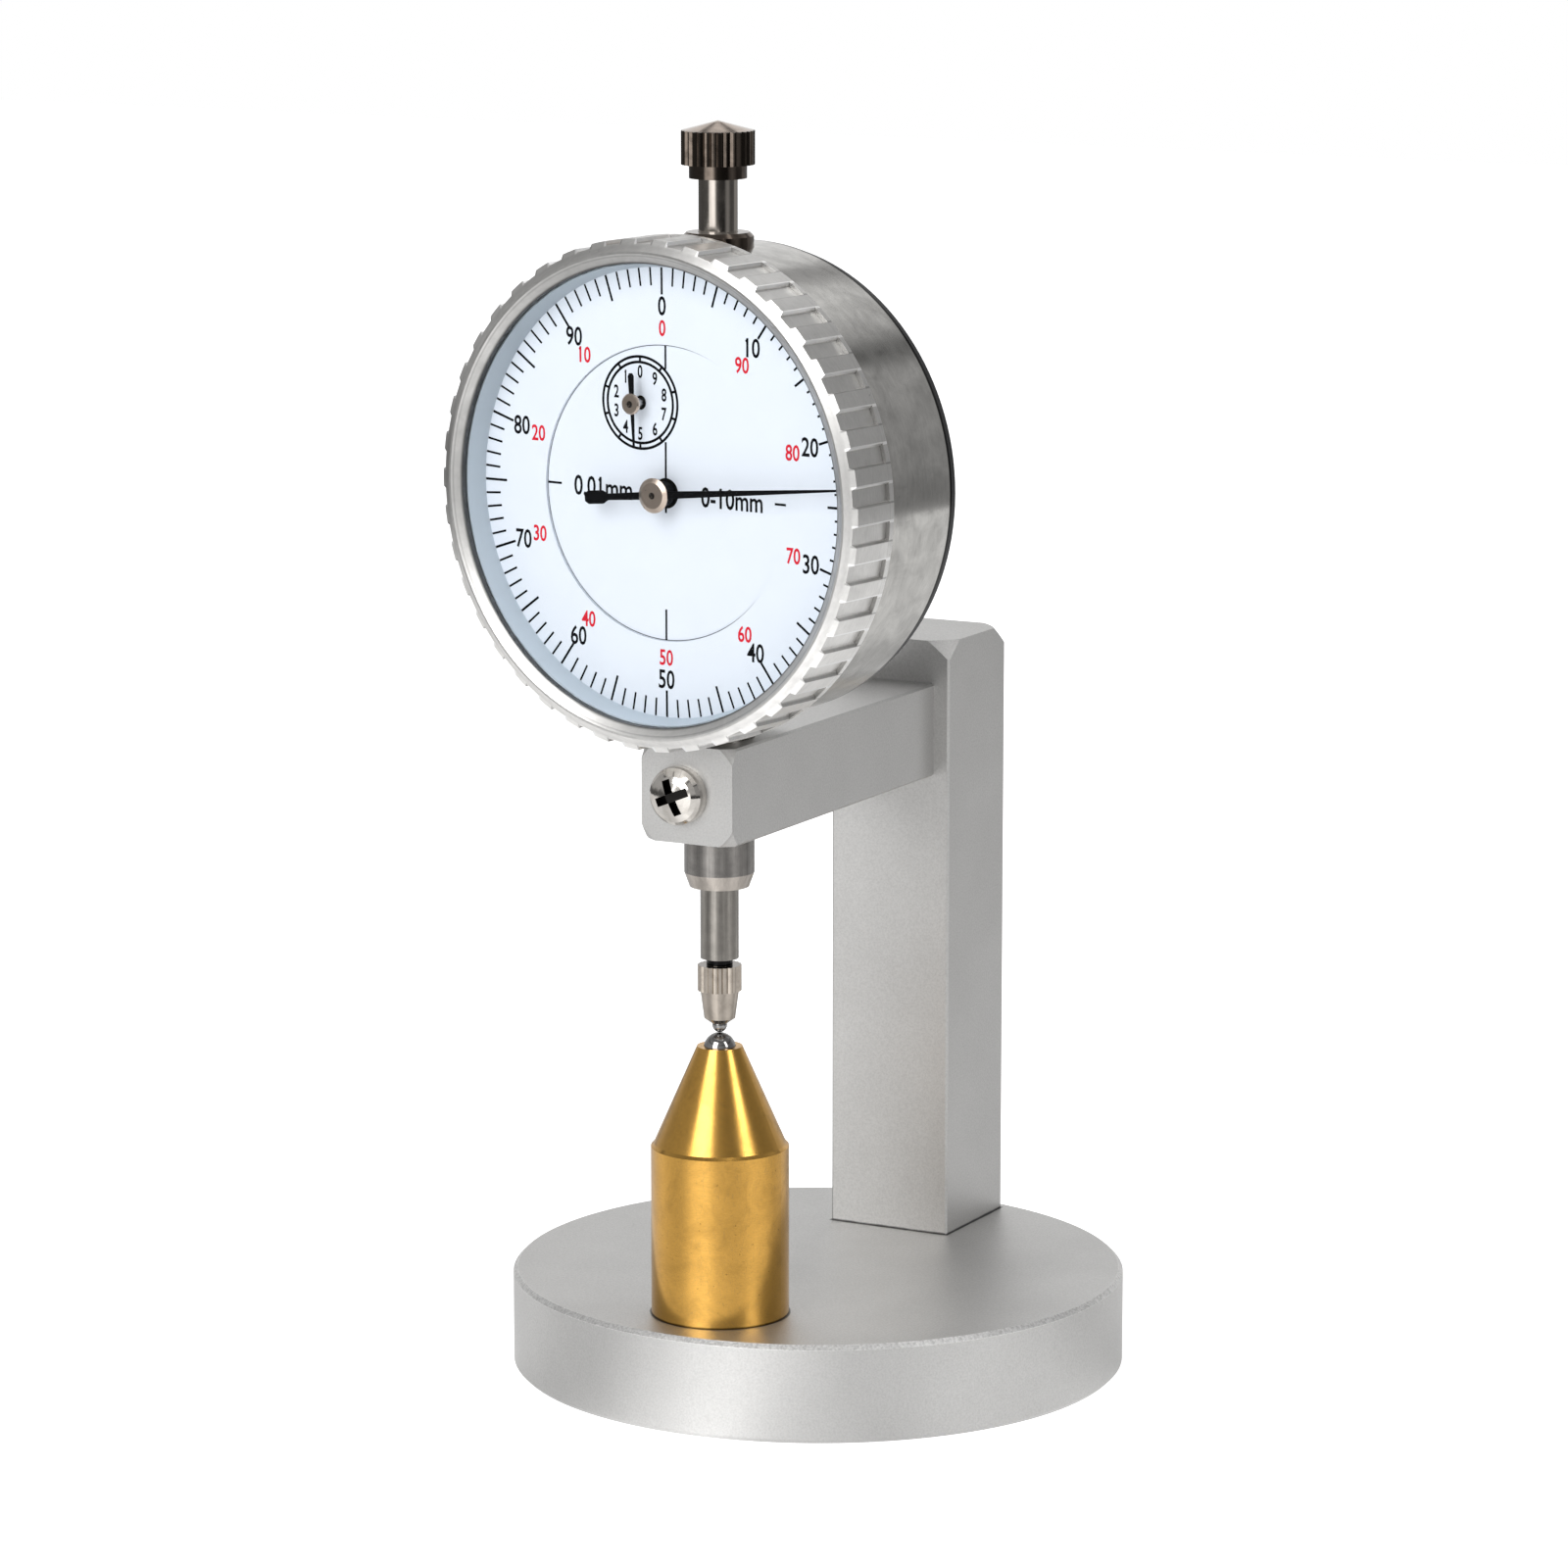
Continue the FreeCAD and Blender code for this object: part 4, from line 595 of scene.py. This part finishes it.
def bright_nickel(name):
    """Bright plating: painted shade in the clamp screw's cross recess and in the hubs' centre holes, a dark
    groove over the contact, satin hubs.
    """
    made = Finish(name, 1.0)
    place = made.place()
    smears = made.noise(place, 0.7, 5.0, 0.6, 0.6)
    contact = made.ramp(smears, [
        (0.3, (0.33, 0.29, 0.25)), (0.55, (0.42, 0.375, 0.325)), (0.8, (0.45, 0.40, 0.35))])
    screw = made.ramp(smears, [
        (0.3, (0.55, 0.52, 0.48)), (0.55, (0.66, 0.63, 0.59)), (0.8, (0.72, 0.69, 0.65))])
    hub = made.ramp(smears, [(0.3, (0.53, 0.44, 0.37)), (0.7, (0.62, 0.52, 0.44))])
    shade = made.mix(made.height(place, CONTACT_TOP, CONTACT_TOP + SOFT_EDGE), contact, screw)
    shade = made.mix(made.height(place, HUB_BOTTOM, HUB_BOTTOM + SOFT_EDGE), shade, hub)

    # Painted shade in the clamp screw's cross recess.
    low, high = (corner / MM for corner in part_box("clamp_screw"))
    middle = (low + high) / 2
    recess = made.reach(
        place, (middle.x, low.y + RECESS_DEPTH, middle.z), (RECESS_RADIUS, RECESS_DEPTH, RECESS_RADIUS))
    shade = made.times(shade, made.grey_ramp(recess, [(0.7, 0.05), (0.95, 0.2), (0.985, 1.0)]))

    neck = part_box("contact_holder")[1].z / MM - CONTACT_NECK
    groove = made.times(
        made.height(place, neck - 0.02, neck + 0.02), made.below(place, CONTACT_TOP, CONTACT_TOP + SOFT_EDGE))
    shade = made.mix(groove, shade, (0.01, 0.01, 0.01))

    # Painted shade in the hubs' centre holes.
    start, end = HUB_HOLE_SHADE
    for centre in HAND_CENTRES:
        hole = made.reach(made.place(turn=GAUGE_TURN), centre, (1, 0, 1))
        shade = made.times(shade, made.grey_ramp(hole, [(start, 0.05), (end, 1.0)]))
    made.colour(shade)
    matt = made.grey_ramp(made.height(place, HUB_BOTTOM, HUB_BOTTOM + SOFT_EDGE), [(0.4, 0.0), (0.6, 0.2)])
    made.roughness(made.mix(1.0, made.grey_ramp(smears, [(0.3, 0.13), (0.65, 0.07)]), matt, "ADD"))
    made.bump(made.noise(place, 5.0, 2.0), 0.05)
    return made.material


def painted(name, colour, rough, vary, grain=4.0, bump=0.15, marks=None, **constants):
    """Paint, print or moulded plastic: slight mottling, a fine skin and the marks given."""
    made = Finish(name, **constants)
    place = made.place()
    shade = made.toned(made.noise(place, 0.25), colour, (0.3, 1 - vary), (0.7, 1 + vary))
    made.colour(marks(made, place, shade) if marks else shade)
    skin = made.noise(place, grain, 2.0)
    made.roughness(made.grey_ramp(skin, [(0.3, rough + 0.05), (0.7, rough - 0.05)]))
    made.bump(skin, bump)
    return made.material


def brass(name, colour):
    """Golden brass with turning lines, stains and thin scratches."""
    made = Finish(name, 1.0)
    place = made.place()
    grooves = made.noise(made.place((0.12, 0.12, 1)), 14.0, 4.0, 0.6)
    stains = made.noise(place, 0.22, 5.0, 0.65, 0.8)
    base = made.toned(stains, colour, (0.3, 0.8), (0.5, 1), (0.75, 1.12))
    lined = made.times(base, made.grey_ramp(grooves, [(0.3, 0.93), (0.7, 1.06)]))
    scratches = made.noise(made.place((1, 1, 0.3), 0.5, 0.7), 0.9, 2.0, 0.5, 3.5)
    thin = made.grey_ramp(scratches, [(0.485, 0.0), (0.5, 0.55), (0.515, 0.0)])
    rubbed = made.mix(thin, lined, (0.42, 0.26, 0.09))
    specks = made.grey_ramp(made.noise(place, 2.2, 2.0), [(0.22, 0.5), (0.3, 1.0)])
    made.colour(seam_line(made, place, made.times(rubbed, specks)))
    made.roughness(made.grey_ramp(stains, [(0.3, 0.27), (0.7, 0.18)]))
    made.bump(grooves, 0.15)
    return made.material


def clear_acrylic(name):
    made = Finish(name, IOR=1.49, Alpha=0.035)
    smears = made.noise(made.place(), 0.15)
    made.colour(made.ramp(smears, [(0.3, (0.03, 0.035, 0.04)), (0.7, (0.05, 0.055, 0.06))]))
    made.roughness(made.grey_ramp(smears, [(0.3, 0.05), (0.7, 0.03)]))
    return made.material


def floor_paper():
    made = Finish("floor_paper")
    made.shader.inputs["Emission Color"].default_value = (1, 1, 1, 1)
    made.shader.inputs["Emission Strength"].default_value = FLOOR_GLOW
    paper = made.noise(made.place(), 0.8)
    made.colour(made.grey_ramp(paper, [(0.3, 0.66), (0.7, 0.68)]))
    made.roughness(made.grey_ramp(paper, [(0.3, 0.85), (0.7, 0.8)]))
    return made.material


def mirrored_white():
    """The table's finish: as bright as the table of levels says."""
    made = Finish("mirrored_table")
    made.colour(made.grey_ramp(made.noise(made.place(), 0.05), [(0.3, 0.02), (0.7, 0.03)]))
    made.feed(made.shader.inputs["Emission Strength"], made.by_azimuth(made.place(), TABLE_LEVELS))
    made.shader.inputs["Emission Color"].default_value = (1, 1, 1, 1)
    return made.material


FINISHES = {
    "stand_aluminium": blasted_metal("blasted_aluminium", (0.60, 0.595, 0.585), 0.46),
    "anvil_brass": brass("scratched_brass", (0.63, 0.352, 0.08)),
    "hard_steel": plated_metal("polished_steel_ball", (0.33, 0.325, 0.32), 0.05),
    "bright_screw": bright_nickel("bright_nickel"),
    "black_screw": painted("black_oxide", (0.03, 0.03, 0.032), 0.35, 0.2, metallic=0.6),
    "case_steel": turned_metal(
        "polished_case_steel", (0.585, 0.575, 0.553), 0.15, 3.0, 0.06, 0.4, rear_line),
    "cover_black": painted("satin_black_cover", (0.012, 0.012, 0.013), 0.4, 0.15),
    "cover_screw": plated_metal("plain_screw_steel", (0.5, 0.5, 0.49), 0.25),
    "bezel_silver": turned_metal("satin_bezel", (0.92, 0.91, 0.89), 0.36, 6.0, 0.06, 0.2, bezel_marks),
    "stem_steel": drawn_metal(
        "ground_stem_steel", (0.21, 0.20, 0.19), 0.2,
        STEM_PLATING + SOFT_EDGE, STEM_PLATING, (0.46, 0.42, 0.38)),
    "spindle_steel": drawn_metal(
        "ground_spindle_steel", (0.25, 0.235, 0.215), 0.14,
        SPINDLE_PLATING, SPINDLE_PLATING + SOFT_EDGE, (0.46, 0.42, 0.38)),
    "dark_nickel": plated_metal(
        "black_nickel", (0.16, 0.13, 0.108), 0.08, 0.45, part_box("lift_knob")[1].z / MM - KNOB_CONE),
    "dial_white": painted("dial_enamel", (0.71, 0.765, 0.84), 0.6, 0.01, 3.0, 0.03, Specular_IOR_Level=0.2),
    "wall_white": painted(
        "wall_plastic", (0.63, 0.72, 0.80), 0.6, 0.03, marks=wall_shades, Specular_IOR_Level=0.2),
    "crystal_clear": clear_acrylic("clear_acrylic"),
    "hand_black": painted("hand_lacquer", (0.0015, 0.0015, 0.002), 0.45, 0.3, Specular_IOR_Level=0.05),
    "movement_brass": turned_metal("cut_brass", (0.66, 0.48, 0.20), 0.3, 5.0, 0.05, 0.25, arbor_holes),
    "arbor_steel": turned_metal("arbor_steel", (0.5, 0.5, 0.5), 0.3, 8.0, 0.05, 0.2),
}
BLACK_INK = painted("black_ink", (0.002, 0.002, 0.003), 0.6, 0.3, Specular_IOR_Level=0.05)
RED_INK = painted("red_ink", (0.62, 0.012, 0.03), 0.6, 0.08, Specular_IOR_Level=0.1)


def dress_nodes():
    """Every solid takes the finish of its material slot."""
    for row in frame["record"]["subparts"]:
        node = frame["nodes"][row["node"]]
        node.data.materials.clear()
        node.data.materials.append(FINISHES[row["material_slot"]])


# The print

def add_object(name, shape, material):
    """Turn a finished bmesh into an object of the scene."""
    mesh = bpy.data.meshes.new(name)
    shape.to_mesh(mesh)
    shape.free()
    mesh.materials.append(material)
    piece = bpy.data.objects.new(name, mesh)
    bpy.context.scene.collection.objects.link(piece)
    return piece


def keep(name, shape, material, body):
    """Turn a finished bmesh into a piece that rides on a body."""
    bmesh.ops.recalc_face_normals(shape, faces=shape.faces)
    piece = add_object(name, shape, material)
    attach(piece, body)


def on_dial(x, z, depth, turn=0.0):
    """Where a print lies: its x and y become the dial's right and up, its z the depth to the reader."""
    place = Matrix.Translation((x * MM, -depth, z * MM))
    face = Matrix.Rotation(math.radians(90), 4, "X")
    return TO_WORLD @ place @ face @ Matrix.Rotation(turn, 4, "Z")


def add_bar(shape, left, low, right, high, matrix):
    """A thin printed bar, in a print's own frame."""
    size = Matrix.Diagonal(((right - left) * MM, (high - low) * MM, INK_THICK, 1))
    middle = Matrix.Translation(((left + right) / 2 * MM, (low + high) / 2 * MM, INK_THICK / 2))
    bmesh.ops.create_cube(shape, size=1, matrix=matrix @ middle @ size)


def add_ring(shape, inner, outer, matrix):
    """A thin printed ring: the four corners of its section, spun round."""
    section = ((inner, 0), (outer, 0), (outer, INK_THICK), (inner, INK_THICK))
    ends = [bmesh.ops.create_vert(shape, co=matrix @ Vector((r * MM, 0, h)))["vert"][0] for r, h in section]
    edges = [shape.edges.new((ends[i], ends[(i + 1) % 4])) for i in range(4)]
    bmesh.ops.spin(
        shape, geom=ends + edges, cent=matrix.translation, axis=matrix.to_3x3() @ Vector((0, 0, 1)),
        angle=math.tau, steps=128, use_merge=True)


def mesh_of(holder):
    """The mesh of some lettering as it stands."""
    bpy.context.view_layer.update()
    return bpy.data.meshes.new_from_object(holder.evaluated_get(bpy.context.evaluated_depsgraph_get()))


def ends_of(holder, words):
    """The left and the right end of some words, set in the lettering given."""
    holder.data.body = words
    mesh = mesh_of(holder)
    xs = [v.co.x for v in mesh.vertices]
    bpy.data.meshes.remove(mesh)
    return min(xs), max(xs)


def add_flags(mesh, holder, words):
    """Give each digit 1 its flag, a small sloping bar that the font leaves out."""
    size = holder.data.size
    left = min(v.co.x for v in mesh.vertices)
    top = max(v.co.y for v in mesh.vertices)
    glyphs = bmesh.new()
    glyphs.from_mesh(mesh)
    holder.data.align_x = "LEFT"
    start_of_words = ends_of(holder, words)[0]
    for step, letter in enumerate(words):
        if letter == "1":
            right = ends_of(holder, words[:step + 1])[1] - start_of_words + left
            tip = Vector((right - FLAG_REACH * size, top - FLAG_DROP * size, 0))
            start = Vector((right - FLAG_START * size, top - FLAG_START * size, 0))
            slope = Matrix.Rotation(math.atan2(start.y - tip.y, start.x - tip.x), 4, "Z")
            bar = Matrix.Diagonal(((start - tip).length, FLAG_THICK * size, INK_THICK, 1))
            bmesh.ops.create_cube(glyphs, size=1, matrix=Matrix.Translation((start + tip) / 2) @ slope @ bar)
    glyphs.to_mesh(mesh)
    glyphs.free()


def add_text(shape, words, height, matrix, width_share=NUMBER_WIDTH_SHARE):
    """Add thin lettering, centred, whose digits have the height given."""
    curve = bpy.data.curves.new("lettering", "FONT")
    curve.body = words
    curve.size = height / DIGIT_SHARE * MM
    curve.align_x = "CENTER"
    curve.align_y = "CENTER"
    curve.extrude = INK_THICK / 2
    curve.resolution_u = 3
    curve.offset = INK_SPREAD
    holder = bpy.data.objects.new("lettering", curve)
    bpy.context.scene.collection.objects.link(holder)
    mesh = mesh_of(holder)
    add_flags(mesh, holder, words)
    xs = [v.co.x for v in mesh.vertices]
    ys = [v.co.y for v in mesh.vertices]
    centre = Matrix.Translation((-(min(xs) + max(xs)) / 2, -(min(ys) + max(ys)) / 2, INK_THICK / 2))
    mesh.transform(matrix @ Matrix.Diagonal((width_share, 1, 1, 1)) @ centre)
    shape.from_mesh(mesh)
    bpy.data.objects.remove(holder)
    bpy.data.curves.remove(curve)
    bpy.data.meshes.remove(mesh)


def scale_print():
    """Hundred ticks and two rows of numbers, which turn with the bezel."""
    ticks = bmesh.new()
    for step in range(100):
        start, half = LONG_TICK if step % 5 == 0 else SHORT_TICK
        matrix = on_dial(0, 0, RING_FACE, -math.radians(3.6 * step - SCALE_DEGREES))
        add_bar(ticks, -half, start, half, TICK_END, matrix)
    keep("scale_ticks", ticks, BLACK_INK, "turning_bezel")
    black = bmesh.new()
    red = bmesh.new()
    for step in range(10):
        angle = math.radians(36 * step - SCALE_DEGREES)
        for shape, (radius, height), number in (
            (black, BLACK_NUMBERS, 10 * step), (red, RED_NUMBERS, (100 - 10 * step) % 100),
        ):
            matrix = on_dial(radius * math.sin(angle), radius * math.cos(angle), RING_FACE)
            add_text(shape, str(number), height, matrix)
    keep("scale_numbers", black, BLACK_INK, "turning_bezel")
    keep("scale_numbers_red", red, RED_INK, "turning_bezel")


def centre_print():
    """Cross lines, a dark ring at the centre disc's edge that is a painted shadow of its step, unit text and
    the counter scale, which stay with the indicator.
    """
    lines = bmesh.new()
    face = on_dial(0, 0, CENTRE_FACE)
    for corners in CROSS_LINES:
        add_bar(lines, *corners, face)
    # A painted shadow: a dark ring in black ink at the centre disc's edge.
    add_ring(lines, *DISC_EDGE_SHADOW, face)
    keep("centre_lines_and_edge_shadow", lines, BLACK_INK, "gauge")
    words = bmesh.new()
    for text, x in UNITS:
        add_text(words, text, UNIT_HEIGHT, on_dial(x, 0, CENTRE_FACE), UNIT_WIDTH_SHARE)
    keep("unit_text", words, BLACK_INK, "gauge")
    counter = bmesh.new()
    x, z = COUNTER_PLACE
    for radius in COUNTER_RINGS:
        add_ring(counter, radius - COUNTER_RING_HALF, radius + COUNTER_RING_HALF, on_dial(x, z, CENTRE_FACE))
    radius, height = COUNTER_NUMBERS
    for step in range(10):
        angle = math.radians(36 * step)
        add_bar(counter, *COUNTER_TICK, on_dial(x, z, CENTRE_FACE, -angle))
        middle = on_dial(x + radius * math.sin(angle), z + radius * math.cos(angle), CENTRE_FACE)
        add_text(counter, str((10 - step) % 10), height, middle, COUNTER_WIDTH_SHARE)
    keep("counter_scale", counter, BLACK_INK, "gauge")


# The stage

def make_table():
    """The white table top as the metal mirrors it: brightest towards the key light, and it ends."""
    shape = bmesh.new()
    bmesh.ops.create_circle(shape, cap_ends=True, segments=96, radius=TABLE_RADIUS)
    shift = direction(TABLE_AZIMUTH, 0) * TABLE_SHIFT + Vector((0, 0, -TABLE_DROP))
    bmesh.ops.translate(shape, verts=shape.verts, vec=shift)
    table = add_object("mirrored_table", shape, mirrored_white())
    table.visible_camera = False
    table.visible_diffuse = False
    table.visible_shadow = False
    table.visible_transmission = False


def make_floor():
    """The white floor as the camera sees it and as it lights the object, without a reflection."""
    shape = bmesh.new()
    bmesh.ops.create_grid(shape, x_segments=1, y_segments=1, size=FLOOR_SIZE)
    bmesh.ops.translate(shape, verts=shape.verts, vec=(0, 0, -FLOOR_DROP))
    floor = add_object("floor", shape, floor_paper())
    floor.visible_glossy = False


make_camera()
make_world()
make_lights()
make_floor()
make_table()
dress_nodes()
scale_print()
centre_print()
